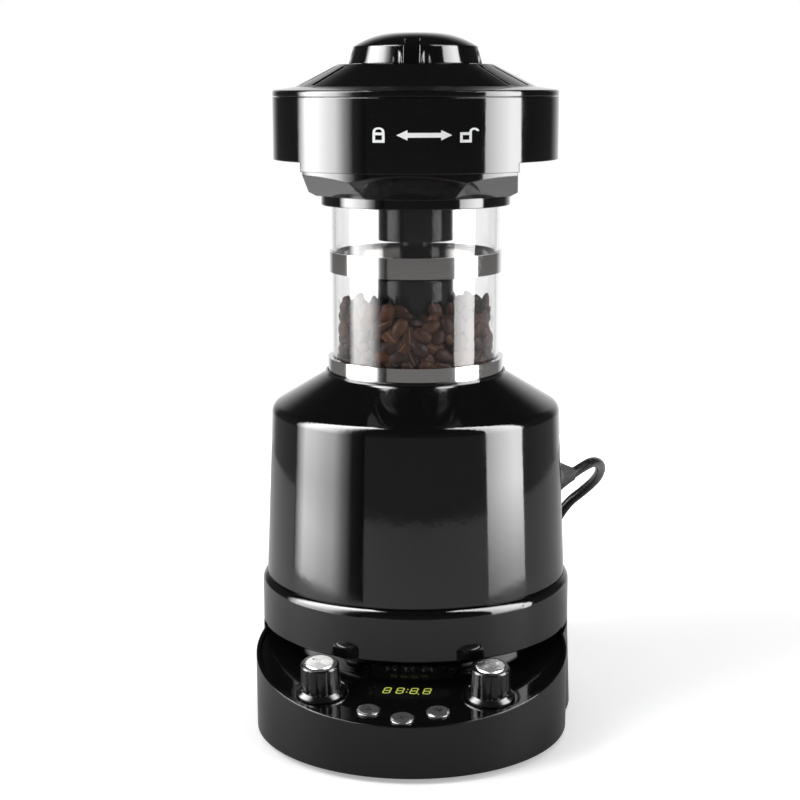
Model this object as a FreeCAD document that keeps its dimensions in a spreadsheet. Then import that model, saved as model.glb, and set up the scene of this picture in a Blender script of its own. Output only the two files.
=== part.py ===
import FreeCAD, Part
import Sketcher
import math
import os

# Countertop hot-air coffee roaster
# Millimetres, +Z up, the front faces -Y. The origin is on the floor, in the middle of the footprint.
# Every sub-part is drawn on the axis of the round base and then moved back to that origin.
# From the floor up: a round base with a round control console that reaches forward, a conical housing
# with a blower and a heater, a glass roasting chamber that lifts out, and a chaff collector on top
# with a twist-lock cover.

doc = FreeCAD.newDocument("Roaster")
os.makedirs("parts", exist_ok=True)

SIZES = {
    # Base
    "foot_height": 3.0,
    "foot_radius": 8.0,
    "foot_circle": 62.0,
    "base_radius": 90.0,
    "base_draft": 1.8,
    "lower_height": 49.3,
    "band_height": 24.0,
    "shoulder_rise": 4.5,
    "shoulder_inset": 2.6,
    "shoulder_round": 5.2,
    "base_wall": 2.5,
    "cover_thick": 2.0,
    # Console
    "console_radius": 87.0,
    "console_shift": 38.5,
    "rim_height": 31.1,
    "rim_width": 2.2,
    "panel_tilt": 10.0,
    "panel_sink": 1.2,
    "panel_thick": 2.0,
    "neck_radius": 76.0,
    # Things on the console
    "knob_spread": 45.4,
    "knob_back": 35.6,
    "skirt_radius": 13.2,
    "skirt_thick": 2.0,
    "dial_ring_radius": 15.7,
    "dial_ring_width": 1.0,
    "dial_ring_rise": 0.5,
    "grip_radius": 10.9,
    "knob_height": 18.0,
    "flute_radius": 1.7,
    "flute_count": 12.0,
    "cap_radius": 7.8,
    "cap_thick": 1.4,
    "shaft_radius": 3.0,
    "button_radius": 6.1,
    "button_rise": 1.3,
    "button_travel": 0.8,
    "button_spread": 18.4,
    "button_back": 17.8,
    "power_back": 10.4,
    "window_length": 34.0,
    "window_width": 15.0,
    "display_back": 35.2,
    "module_length": 30.2,
    "module_width": 14.0,
    "module_height": 7.2,
    "board_depth": 12.4,
    "board_thick": 1.6,
    "board_length": 116.0,
    "board_width": 42.0,
    "board_nose": 16.0,
    "pot_radius": 8.25,
    "pot_height": 7.0,
    # Housing
    "housing_rise": 96.7,
    "housing_taper": 4.1,
    "cone_rise": 18.5,
    "mouth_radius": 50.9,
    "housing_wall": 2.5,
    "bead_rise": 1.6,
    "bead_width": 0.9,
    "crest_round": 6.0,
    # Air path inside
    "blower_radius": 46.0,
    "blower_height": 64.0,
    "duct_wall": 1.2,
    "motor_radius": 17.0,
    "motor_height": 34.0,
    "motor_shaft_radius": 2.0,
    "impeller_height": 15.0,
    "hub_radius": 13.0,
    "blade_count": 9.0,
    "blade_thick": 1.6,
    "socket_depth": 18.0,
    "frame_half_width": 26.0,
    "frame_thick": 1.0,
    "heater_wire": 1.1,
    # Roasting chamber
    "glass_radius": 46.9,
    "glass_wall": 2.1,
    "glass_height": 99.5,
    "ring_radius": 49.5,
    "ring_height": 9.0,
    "spigot_depth": 16.0,
    "steel": 1.2,
    "mid_band_offset": 48.3,
    "mid_band_height": 11.4,
    "mid_band_thick": 1.4,
    "air_slot_count": 20.0,
    "column_radius": 21.2,
    "column_height": 67.7,
    "post_radius": 9.2,
    "post_height": 49.0,
    # Chaff collector
    "collar_radius": 52.7,
    "collar_grip": 6.0,
    "collar_height": 5.6,
    "facet_reach": 53.0,
    "facet_half": 23.5,
    "facet_height": 19.4,
    "facet_flare": 61.0,
    "cup_half_width": 57.0,
    "throat_radius": 43.5,
    "drum_radius": 79.0,
    "drum_height": 33.9,
    "drum_wall": 2.0,
    "drum_skirt": 5.0,
    "skirt_half_angle": 47.0,
    "tube_radius": 20.9,
    "tube_drop": 45.0,
    "tube_height": 62.0,
    "gasket_thick": 1.5,
    # Cover
    "lip_height": 3.3,
    "lip_rise": 1.7,
    "vent_base_radius": 66.6,
    "vent_top_radius": 43.0,
    "vent_rise": 12.1,
    "cover_wall": 2.2,
    "cover_skirt": 8.7,
    "cover_skirt_radius": 74.5,
    "vent_slot": 4.0,
    "lock_turn": 20.0,
    "lug_half": 6.0,
    "lug_height": 3.7,
    "knob_gap": 0.3,
    "top_knob_radius": 36.8,
    "top_knob_draft": 2.6,
    "top_knob_wall": 9.3,
    "top_knob_dome": 7.3,
    "top_disc_radius": 11.8,
    "dome_radius": 48.0,
    "finger_slot": 8.4,
    "finger_slot_depth": 10.0,
    "finger_flute": 2.6,
    "finger_flute_pitch": 12.5,
    # Cord
    "boot_turn": 32.0,
    "boot_height": 124.0,
    "boot_radius": 11.0,
    "boot_length": 24.0,
    "cord_radius": 3.2,
    # Clearances
    "rest_gap": 0.3,
    "side_gap": 0.3,
    "run_gap": 0.05,
}

sheet = doc.addObject("Spreadsheet::Sheet", "Sizes")
for row, (alias, number) in enumerate(SIZES.items(), start=1):
    sheet.set("A%d" % row, alias)
    sheet.set("B%d" % row, str(number))
    sheet.setAlias("B%d" % row, alias)
doc.recompute()


class Size:
    """A number with the expression that works it out from the sheet."""

    def __init__(self, value, text):
        self.value = value
        self.text = text

    def __float__(self):
        return float(self.value)

    def __add__(self, other):
        other = as_size(other)
        return Size(self.value + other.value, "(%s + %s)" % (self.text, other.text))

    def __sub__(self, other):
        other = as_size(other)
        return Size(self.value - other.value, "(%s - %s)" % (self.text, other.text))

    def __mul__(self, other):
        other = as_size(other)
        return Size(self.value * other.value, "(%s * %s)" % (self.text, other.text))

    def __truediv__(self, other):
        other = as_size(other)
        return Size(self.value / other.value, "(%s / %s)" % (self.text, other.text))

    def __radd__(self, other):
        return as_size(other) + self

    def __rsub__(self, other):
        return as_size(other) - self

    def __rmul__(self, other):
        return as_size(other) * self

    def __neg__(self):
        return Size(-self.value, "(-%s)" % self.text)


def as_size(number):
    if isinstance(number, Size):
        return number
    return Size(float(number), "%.6f" % number)


def cosine(angle):
    return Size(math.cos(math.radians(angle.value)), "cos(%s)" % angle.text)


def sine(angle):
    return Size(math.sin(math.radians(angle.value)), "sin(%s)" % angle.text)


class Named:
    """Every size of the sheet as an attribute."""


d = Named()
for alias, number in SIZES.items():
    setattr(d, alias, Size(number, "Sizes." + alias))

# Levels, from the floor up
base_low = d.foot_height
band_low = base_low + d.lower_height
crease = band_low + d.band_height
seam = crease + d.shoulder_rise
crest = seam + d.housing_rise
mouth = crest + d.cone_rise
ring_low = mouth + d.rest_gap
ring_top = ring_low + d.ring_height
spigot_low = ring_low - d.spigot_depth
plate_top = spigot_low + d.steel * 2
glass_low = ring_low + d.steel
glass_top = glass_low + d.glass_height
column_top = plate_top + d.column_height
post_top = column_top + d.post_height
mid_band_low = ring_top + d.mid_band_offset
gasket_low = glass_top + d.rest_gap
collar_low = glass_top - d.collar_grip
collar_top = collar_low + d.collar_height
drum_floor = collar_top + d.facet_height
drum_top = drum_floor + d.drum_height
lip_low = drum_top + d.rest_gap
lip_top = lip_low + d.lip_height
vent_low = lip_top + d.lip_rise
vent_top = vent_low + d.vent_rise
knob_low = vent_top + d.knob_gap
knob_brow = knob_low + d.top_knob_wall
knob_top = knob_brow + d.top_knob_dome
blower_low = base_low + d.cover_thick + 2
blower_top = blower_low + d.blower_height
motor_low = blower_low + d.impeller_height + 6
socket_low = mouth - d.socket_depth

# Radii that follow from others
band_radius = d.base_radius - d.base_draft
seam_radius = band_radius - d.shoulder_inset
crest_radius = seam_radius - d.housing_taper
socket_radius = d.ring_radius - d.steel * 2 - d.side_gap * 2
spigot_radius = socket_radius - d.side_gap
glass_bore = d.glass_radius - d.glass_wall
console_reach = d.console_shift + d.console_radius
tilt_cos = cosine(d.panel_tilt)
tilt_sin = sine(d.panel_tilt)
heater_radius = d.frame_half_width + d.heater_wire + d.rest_gap
axis_back = (console_reach - d.base_radius) / 2
knob_base = 0.6


def bind(item, path, size):
    """Set a property and tie it to the sheet."""
    item.setExpression(path, as_size(size).text)


def new_body(label):
    body = doc.addObject("PartDesign::Body", label)
    body.Label = label
    return body


def origin_item(body, role):
    for item in body.Origin.OriginFeatures:
        if item.Role == role:
            return item
    raise ValueError(role)


def is_zero(number):
    return not isinstance(number, Size) and number == 0


def pin_vertex(rules, ties, curve, end, x, y):
    """Rules that hold one vertex at x, y; ties holds the expression of each rule that has one."""
    for kind, axis, number in (("DistanceX", -2, x), ("DistanceY", -1, y)):
        if is_zero(number):
            rules.append(Sketcher.Constraint("PointOnObject", curve, end, axis))
            ties.append(None)
        else:
            rules.append(Sketcher.Constraint(kind, -1, 1, curve, end, float(number)))
            ties.append(as_size(number).text)


def arc_between(start, end, radius, left):
    """An arc from start to end; its centre is on the left of the way from start to end, or the right."""
    chord = end - start
    half = chord.Length / 2
    side = FreeCAD.Vector(-chord.y, chord.x, 0).normalize()
    if not left:
        side = side * -1
    centre = (start + end) * 0.5 + side * math.sqrt(max(radius ** 2 - half ** 2, 0))
    a = math.atan2(start.y - centre.y, start.x - centre.x)
    b = math.atan2(end.y - centre.y, end.x - centre.x)
    circle = Part.Circle(centre, FreeCAD.Vector(0, 0, 1), radius)
    if left:
        return Part.ArcOfCircle(circle, a, b), 1, 2
    return Part.ArcOfCircle(circle, b, a), 2, 1


def draw(body, name, plane, outlines=(), circles=(), lift=None):
    """A sketch on an origin plane of its body, every vertex tied to the sheet.

    An outline is a list of (x, y) or (x, y, radius, left): the second form starts an arc.
    A circle is (x, y, radius). The lift moves the sketch along the plane's normal.
    """
    sketch = body.newObject("Sketcher::SketchObject", name)
    sketch.AttachmentSupport = [(origin_item(body, plane), "")]
    sketch.MapMode = "FlatFace"
    if lift is not None:
        bind(sketch, ".AttachmentOffset.Base.z", lift)
    curves, rules, ties = [], [], []
    for outline in outlines:
        first = len(curves)
        count = len(outline)
        ends = []
        for i in range(count):
            start = FreeCAD.Vector(float(outline[i][0]), float(outline[i][1]), 0)
            after = outline[(i + 1) % count]
            end = FreeCAD.Vector(float(after[0]), float(after[1]), 0)
            if len(outline[i]) == 4:
                arc, one, two = arc_between(start, end, float(outline[i][2]), outline[i][3])
                curves.append(arc)
                ends.append((one, two))
                rules.append(Sketcher.Constraint("Radius", first + i, float(outline[i][2])))
                ties.append(as_size(outline[i][2]).text)
            else:
                curves.append(Part.LineSegment(start, end))
                ends.append((1, 2))
        for i in range(count):
            after = (i + 1) % count
            rules.append(Sketcher.Constraint("Coincident", first + i, ends[i][1], first + after, ends[after][0]))
            ties.append(None)
            pin_vertex(rules, ties, first + i, ends[i][0], outline[i][0], outline[i][1])
    for x, y, radius in circles:
        circle = Part.Circle(FreeCAD.Vector(float(x), float(y), 0), FreeCAD.Vector(0, 0, 1), float(radius))
        curves.append(circle)
        here = len(curves) - 1
        rules.append(Sketcher.Constraint("Radius", here, float(radius)))
        ties.append(as_size(radius).text)
        pin_vertex(rules, ties, here, 3, x, y)
    sketch.addGeometry(curves, False)
    sketch.addConstraint(rules)
    for i, text in enumerate(ties):
        if text is not None:
            sketch.setExpression("Constraints[%d]" % i, text)
    return sketch


def revolve(body, name, outline):
    """Turn an outline of (radius, height) about the body's Z axis."""
    sketch = draw(body, name + "_outline", "XZ_Plane", [outline])
    feature = body.newObject("PartDesign::Revolution", name)
    feature.Profile = sketch
    feature.ReferenceAxis = (sketch, ["V_Axis"])
    feature.Angle = 360
    return feature


def groove(body, name, outline):
    sketch = draw(body, name + "_outline", "XZ_Plane", [outline])
    feature = body.newObject("PartDesign::Groove", name)
    feature.Profile = sketch
    feature.ReferenceAxis = (sketch, ["V_Axis"])
    feature.Angle = 360
    return feature


def pad(body, name, sketch, length, down=False):
    feature = body.newObject("PartDesign::Pad", name)
    feature.Profile = sketch
    bind(feature, "Length", length)
    feature.Reversed = down
    return feature


def pocket(body, name, sketch, length, up=True):
    """Cut upwards from the sketch, or downwards."""
    feature = body.newObject("PartDesign::Pocket", name)
    feature.Profile = sketch
    bind(feature, "Length", length)
    feature.Reversed = up
    return feature


def repeat_round(body, name, feature, count, angle=360):
    """Copies of a feature round the body's Z axis; the last copy stands at the angle unless it is a turn."""
    pattern = body.newObject("PartDesign::PolarPattern", name)
    pattern.Originals = [feature]
    pattern.Axis = (origin_item(body, "Z_Axis"), [""])
    pattern.Angle = angle
    pattern.Occurrences = int(float(count))
    body.Tip = pattern
    return pattern


def turned(points, angle):
    """Points turned about the origin by an angle in degrees."""
    c = cosine(as_size(angle))
    s = sine(as_size(angle))
    return [(x * c - y * s, x * s + y * c) for x, y in points]


def block(x_low, x_high, y_low, y_high):
    return [(x_low, y_low), (x_high, y_low), (x_high, y_high), (x_low, y_high)]


def ring_edges(shape, radius, height):
    """Names of the round edges of a radius at a height on the Z axis."""
    names = []
    for number, edge in enumerate(shape.Edges, start=1):
        curve = edge.Curve
        if not hasattr(curve, "Radius"):
            continue
        if abs(curve.Radius - float(radius)) > 0.02 or abs(curve.Center.z - float(height)) > 0.02:
            continue
        names.append("Edge%d" % number)
    return names


def round_rings(body, name, base, rings, radius):
    """Fillet ring-shaped edges, each given as (radius, height)."""
    doc.recompute()
    feature = body.newObject("PartDesign::Fillet", name)
    names = []
    for ring_radius, height in rings:
        names += ring_edges(base.Shape, ring_radius, height)
    feature.Base = (base, names)
    bind(feature, "Radius", radius)
    return feature


def cylinder(name, radius, height, x=0, y=0, z=0):
    item = doc.addObject("Part::Cylinder", name)
    bind(item, "Radius", radius)
    bind(item, "Height", height)
    bind(item, "Placement.Base.x", x)
    bind(item, "Placement.Base.y", y)
    bind(item, "Placement.Base.z", z)
    return item


def fuse(label, shapes):
    item = doc.addObject("Part::MultiFuse", label)
    item.Shapes = shapes
    item.Label = label
    return item


def cut(label, base, tool):
    item = doc.addObject("Part::Cut", label)
    item.Base = base
    item.Tool = tool
    item.Label = label
    return item


def common(label, base, tool):
    item = doc.addObject("Part::Common", label)
    item.Base = base
    item.Tool = tool
    item.Label = label
    return item


def set_on_panel(item, x, back, rise=0):
    """Put an item on the console: x across, back up the slope from the front rim, rise off the face.

    The face starts at the foot of the front rim. The item's own Z becomes the face's normal.
    """
    back = as_size(back)
    rise = as_size(rise)
    item.Placement.Rotation = FreeCAD.Rotation(FreeCAD.Vector(1, 0, 0), float(d.panel_tilt))
    bind(item, "Placement.Rotation.Angle", d.panel_tilt)
    bind(item, "Placement.Base.x", x)
    bind(item, "Placement.Base.y", back * tilt_cos - rise * tilt_sin - console_reach)
    bind(item, "Placement.Base.z", d.rim_height - d.panel_sink + back * tilt_sin + rise * tilt_cos)


def wedge_above(name, drop):
    """Everything above the rim's plane, lowered by drop along its normal."""
    item = doc.addObject("Part::Box", name)
    reach = d.console_radius * 4
    bind(item, "Length", reach)
    bind(item, "Width", reach)
    bind(item, "Height", d.base_radius)
    set_on_panel(item, reach / -2, d.rim_width * -4, d.panel_sink - drop)
    return item


# Sub-parts, in the order in which they stand

PARTS = []


def keep(item):
    """Move a finished sub-part from the base's axis to the part's own origin, and list it."""
    moved = False
    for path, text in item.ExpressionEngine:
        if path.endswith("Placement.Base.y") and "Attachment" not in path:
            item.setExpression(path, "%s + %s" % (text, axis_back.text))
            moved = True
    if not moved:
        item.Placement.Base.y += float(axis_back)
    PARTS.append(item)
    return item


def console_form(name, inset, drop):
    """The lower base and the console, inset by a wall and cut off by the sloping plane."""
    low = base_low
    main = new_body(name + "_main")
    bottom = d.base_radius - inset
    top = band_radius - inset
    revolve(main, name + "_lower", [(0, low), (bottom, low), (top, band_low), (0, band_low)])
    front = cylinder(name + "_front", d.console_radius - inset, d.lower_height, 0, -d.console_shift, low)
    both = fuse(name + "_both", [main, front])
    return cut(name + "_lower_form", both, wedge_above(name + "_slope", drop))


def upper_form(name, inset):
    """The neck and the band above the console's deck."""
    body = new_body(name)
    neck = d.neck_radius - inset
    revolve(body, name + "_turn", [
        (0, base_low), (neck, base_low), (neck, band_low - 6), (neck + 2, band_low - 2),
        (band_radius - inset - 1, band_low), (band_radius - inset, band_low + 1),
        (band_radius - inset, crease, d.shoulder_round, True), (seam_radius - inset, seam), (0, seam)])
    return body


def panel_form(name, gap, low, high):
    """The console's face plate between two distances from the face, smaller than its tray by a gap."""
    disc = cylinder(name + "_disc", d.console_radius - d.rim_width - gap, d.lower_height * 2, 0,
                    -d.console_shift, 0)
    slab = doc.addObject("Part::Box", name + "_slab")
    reach = d.console_radius * 4
    bind(slab, "Length", reach)
    bind(slab, "Width", reach)
    bind(slab, "Height", high - low)
    set_on_panel(slab, reach / -2, d.rim_width * -4, low)
    plate = common(name + "_plate", disc, slab)
    neck = cylinder(name + "_neck", d.neck_radius + gap, d.lower_height * 2)
    return cut(name + "_form", plate, neck)


def make_base_shell():
    outer = fuse("shell_outer", [console_form("outer", as_size(0), as_size(0)), upper_form("outer_upper", as_size(0))])
    deck = d.panel_sink + d.panel_thick + d.base_wall
    inner = fuse("shell_inner", [console_form("inner", d.base_wall, deck), upper_form("inner_upper", d.base_wall)])
    hollow = cut("shell_hollow", outer, inner)
    tray = panel_form("tray", as_size(0), -d.panel_thick, d.panel_sink + 6)
    keep(cut("base_shell", hollow, fuse("shell_cuts", [tray, deck_window()])))


def deck_window():
    """The opening of the deck under the face plate, where the board and its parts pass."""
    body = new_body("deck_window")
    sketch = draw(body, "deck_window_outline", "XY_Plane", [board_outline(as_size(1), as_size(2.5))])
    pad(body, "deck_window_pad", sketch, d.panel_thick + d.base_wall * 3, down=True)
    set_on_panel(body, 0, board_back(), 0)
    inside = cylinder("deck_inside", d.console_radius - d.base_wall, d.lower_height * 2, 0, -d.console_shift)
    return common("deck_opening", body, inside)


def board_outline(grow, front):
    """The board's outline, narrow towards the front, grown by a margin."""
    half = d.board_length / 2 + grow
    nose = d.board_nose + grow
    shoulder = half * 0.7
    wide = d.board_width + grow
    return [(-nose, -front), (nose, -front), (shoulder, d.board_width * 0.26), (half, d.board_width * 0.6),
            (half, wide), (-half, wide), (-half, d.board_width * 0.6), (-shoulder, d.board_width * 0.26)]


def board_back():
    """Where the board's front edge lies up the slope."""
    return d.power_back - d.button_radius + 1.4


def make_base_cover():
    """The bottom plate: it closes the lower base, with inlet slots under the blower and four foot seats."""
    plate = cylinder("bottom_main", d.base_radius - d.base_wall - d.side_gap, d.cover_thick, 0, 0, base_low)
    front = cylinder("bottom_front", d.console_radius - d.base_wall - d.side_gap, d.cover_thick, 0,
                     -d.console_shift, base_low)
    both = fuse("bottom_both", [plate, front])
    posts = [cylinder("blower_post_%d" % n, 3.5, blower_low - base_low) for n in range(3)]
    for n, post in enumerate(posts):
        x, y = turned([(d.blower_radius + 3, as_size(0))], 90 + 120 * n)[0]
        bind(post, "Placement.Base.x", x)
        bind(post, "Placement.Base.y", y)
        bind(post, "Placement.Base.z", base_low)
    slots = new_body("inlet_slots")
    inner, outer = d.blower_radius * 0.3, d.blower_radius * 0.85
    rays = [turned(block(inner, outer, as_size(-1.6), as_size(1.6)), 30 * n) for n in range(12)]
    sketch = draw(slots, "inlet_outline", "XY_Plane", rays)
    pad(slots, "inlet_pad", sketch, crease)
    keep(cut("base_cover", fuse("bottom_with_posts", [both] + posts), slots))


def foot_places():
    """Four feet: two under the back of the base and two under the front of the console."""
    back = turned([(d.foot_circle + 8, as_size(0))], 50)[0]
    front = turned([(d.foot_circle, as_size(0))], -48)[0]
    return {
        "foot_back_right": back,
        "foot_back_left": (-back[0], back[1]),
        "foot_front_right": (front[0], front[1] - d.console_shift),
        "foot_front_left": (-front[0], front[1] - d.console_shift),
    }


def make_feet():
    for label, (x, y) in foot_places().items():
        body = new_body(label)
        top = d.foot_height
        revolve(body, label + "_turn", [
            (0, 0), (d.foot_radius - 1, 0), (d.foot_radius, 1), (d.foot_radius, top), (0, top)])
        bind(body, "Placement.Base.x", x)
        bind(body, "Placement.Base.y", y)
        keep(body)


KNOBS = {"fan": -1, "heat": 1}


def make_control_panel():
    plate = panel_form("panel", d.side_gap / 2, -d.panel_thick, as_size(0))
    holes = new_body("panel_holes")
    half_x, half_y = d.window_length / 2, d.window_width / 2
    window = block(-half_x, half_x, d.display_back - half_y, d.display_back + half_y)
    hole = d.button_radius + d.side_gap
    collar = d.shaft_radius + 0.8 + d.run_gap
    circles = [(d.button_spread, d.button_back, hole), (-d.button_spread, d.button_back, hole),
               (0, d.power_back, hole), (d.knob_spread, d.knob_back, collar),
               (-d.knob_spread, d.knob_back, collar)]
    sketch = draw(holes, "panel_holes_outline", "XY_Plane", [window], circles)
    pad(holes, "panel_holes_pad", sketch, d.panel_thick * 4, down=True)
    set_on_panel(holes, 0, 0, d.panel_thick)
    pillars = []
    for n, (x, back) in enumerate(pillar_places()):
        pillar = doc.addObject("Part::Cylinder", "pillar_%d" % n)
        bind(pillar, "Radius", 2.5)
        bind(pillar, "Height", d.board_depth - d.panel_thick)
        set_on_panel(pillar, x, back, -d.board_depth)
        pillars.append(pillar)
    rings = [dial_ring(name, d.knob_spread * side) for name, side in KNOBS.items()]
    keep(cut("control_panel", fuse("panel_on_pillars", [plate] + pillars + rings), holes))


def dial_ring(name, x):
    """A low ring on the face plate round a dial."""
    ring = new_body(name + "_dial_ring")
    outer = d.dial_ring_radius
    inner = outer - d.dial_ring_width
    revolve(ring, name + "_dial_ring_turn", [
        (inner, -d.panel_thick / 2), (outer, -d.panel_thick / 2), (outer, d.dial_ring_rise * 0.4),
        (outer - 0.3, d.dial_ring_rise), (inner + 0.3, d.dial_ring_rise), (inner, d.dial_ring_rise * 0.4)])
    set_on_panel(ring, x, d.knob_back)
    return ring


def pillar_places():
    x = d.board_length / 2 - 4
    front = board_back() + 9
    return [(x, board_back() + d.board_width - 4), (-x, board_back() + d.board_width - 4),
            (d.button_spread * 1.6, front), (d.button_spread * -1.6, front)]


def make_display():
    window = new_body("display_window")
    half_x = d.window_length / 2 - d.side_gap / 2
    half_y = d.window_width / 2 - d.side_gap / 2
    sketch = draw(window, "display_window_outline", "XY_Plane", [block(-half_x, half_x, -half_y, half_y)])
    pad(window, "display_window_pad", sketch, d.panel_thick * 0.8)
    set_on_panel(window, 0, d.display_back, d.panel_thick * -0.8)
    keep(window)
    module = new_body("display_module")
    half_x = d.module_length / 2
    half_y = d.module_width / 2
    sketch = draw(module, "display_module_outline", "XY_Plane", [block(-half_x, half_x, -half_y, half_y)])
    pad(module, "display_module_pad", sketch, d.module_height)
    legs = [block(-half_x + 4, half_x - 4, side * (half_y - 2) - 0.5, side * (half_y - 2) + 0.5) for side in (1, -1)]
    sketch = draw(module, "display_legs_outline", "XY_Plane", legs)
    legs_length = d.board_depth - d.panel_thick * 0.8 - d.side_gap - d.module_height
    pad(module, "display_legs_pad", sketch, legs_length, down=True)
    set_on_panel(module, 0, d.display_back, legs_length - d.board_depth)
    keep(module)


def make_control_board():
    board = new_body("control_board")
    sketch = draw(board, "control_board_outline", "XY_Plane", [board_outline(as_size(0), as_size(0))])
    pad(board, "control_board_pad", sketch, d.board_thick, down=True)
    set_on_panel(board, 0, board_back(), -d.board_depth)
    keep(board)


BUTTONS = {"button_up": (-1, 1), "button_power": (0, 0), "button_down": (1, 1)}


def make_knobs():
    for name, side in KNOBS.items():
        x = d.knob_spread * side
        bore = d.shaft_radius + d.run_gap
        top = d.knob_height
        # Potentiometer under the face plate, with a collar that the shaft turns in
        pot = new_body(name + "_potentiometer")
        collar = d.shaft_radius + 0.8
        body_top = d.pot_height
        revolve(pot, name + "_pot_turn", [
            (bore, 1.5), (bore, d.board_depth - 0.2), (collar, d.board_depth - 0.2), (collar, body_top),
            (d.pot_radius, body_top), (d.pot_radius, 0), (0, 0), (0, 1.5)])
        set_on_panel(pot, x, d.knob_back, -d.board_depth)
        keep(pot)
        shaft = new_body(name + "_shaft")
        revolve(shaft, name + "_shaft_turn", [
            (0, 1.5 + 0.3), (d.shaft_radius, 1.5 + 0.3), (d.shaft_radius, d.board_depth + top - 5),
            (0, d.board_depth + top - 5)])
        set_on_panel(shaft, x, d.knob_back, -d.board_depth)
        keep(shaft)
        knob = new_body(name + "_knob")
        grip = d.grip_radius
        revolve(knob, name + "_knob_turn", [
            (bore, knob_base), (d.skirt_radius, knob_base), (d.skirt_radius, knob_base + d.skirt_thick * 0.5),
            (grip + 1.2, knob_base + d.skirt_thick), (grip, knob_base + d.skirt_thick + 1),
            (grip - 0.6, top - 0.8), (grip - 1.4, top), (d.cap_radius, top), (d.cap_radius, top - d.cap_thick),
            (0, top - d.cap_thick), (0, top - 5), (bore, top - 5)])
        flute = draw(knob, name + "_flute_outline", "XY_Plane", circles=[(grip + d.flute_radius * 0.45, 0, d.flute_radius)],
                     lift=knob_base + d.skirt_thick + 1)
        cutter = pocket(knob, name + "_flute", flute, d.knob_height)
        repeat_round(knob, name + "_flutes", cutter, d.flute_count)
        set_on_panel(knob, x, d.knob_back)
        keep(knob)
        cap = new_body(name + "_knob_cap")
        edge = d.cap_radius - d.run_gap
        revolve(cap, name + "_cap_turn", [
            (0, top - d.cap_thick), (edge, top - d.cap_thick), (edge, top + 0.2), (edge - 0.6, top + 0.6), (0, top + 0.3)])
        set_on_panel(cap, x, d.knob_back)
        keep(cap)


def make_buttons():
    stem_low = d.board_depth * 0.6
    for name, (side, upper) in BUTTONS.items():
        x = d.button_spread * side if side else as_size(0)
        back = d.button_back if upper else d.power_back
        cap = new_body(name)
        edge = d.button_radius
        flange = d.panel_thick + 0.2
        revolve(cap, name + "_turn", [
            (0, -stem_low), (1.6, -stem_low), (1.6, -flange - 0.8), (edge + 0.7, -flange - 0.8), (edge + 0.7, -flange),
            (edge, -flange), (edge, d.button_rise * 0.55), (edge - 1.2, d.button_rise * 0.9), (0, d.button_rise)])
        set_on_panel(cap, x, back)
        keep(cap)
        switch = new_body(name.replace("button", "switch"))
        half = as_size(3)
        sketch = draw(switch, name + "_switch_outline", "XY_Plane", [block(-half, half, -half, half)])
        body_height = (d.board_depth - stem_low) - d.button_travel - 0.1 - 0.8
        pad(switch, name + "_switch_pad", sketch, body_height)
        tip = draw(switch, name + "_tip_outline", "XY_Plane", circles=[(0, 0, 1.6)])
        pad(switch, name + "_tip_pad", tip, body_height + 0.8)
        set_on_panel(switch, x, back, -d.board_depth)
        keep(switch)


def make_housing():
    body = new_body("housing_blank")
    w = d.housing_wall
    relief = 0.8
    land = d.mouth_radius - d.bead_width
    turn = revolve(body, "housing_turn", [
        (seam_radius - w - 2, seam), (seam_radius - relief, seam), (seam_radius - relief, seam + relief),
        (seam_radius, seam + relief), (crest_radius, crest), (d.mouth_radius, mouth),
        (d.mouth_radius, mouth + d.bead_rise), (land, mouth + d.bead_rise), (land, mouth - w),
        (crest_radius - w, crest - w * 0.6), (seam_radius - w, seam + 3), (seam_radius - w - 2, seam + 3)])
    body.Tip = turn
    rounded = round_rings(body, "housing_crest", turn, [(crest_radius, crest)], d.crest_round)
    body.Tip = rounded
    hole = new_body("boot_hole")
    revolve(hole, "boot_hole_turn", [(0, 0), (d.boot_radius - 3, 0), (d.boot_radius - 3, d.base_radius + 20),
                                     (0, d.base_radius + 20)])
    aim_outwards(hole, as_size(0))
    keep(cut("housing_shell", body, hole))
    ring = new_body("mouth_ring")
    revolve(ring, "mouth_ring_turn", [
        (socket_radius + d.steel, mouth - w), (land, mouth - w), (land, mouth), (socket_radius + d.steel, mouth)])
    keep(ring)


def aim_outwards(item, distance):
    """Lay an item's Z axis level, pointing out of the housing where the cord leaves it."""
    level = FreeCAD.Rotation(FreeCAD.Vector(0, 1, 0), 90)
    aside = FreeCAD.Rotation(FreeCAD.Vector(0, 0, 1), float(d.boot_turn))
    spot = FreeCAD.Vector(float(distance), 0, float(d.boot_height))
    item.Placement = FreeCAD.Placement(aside.multVec(spot), aside.multiply(level))


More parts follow.
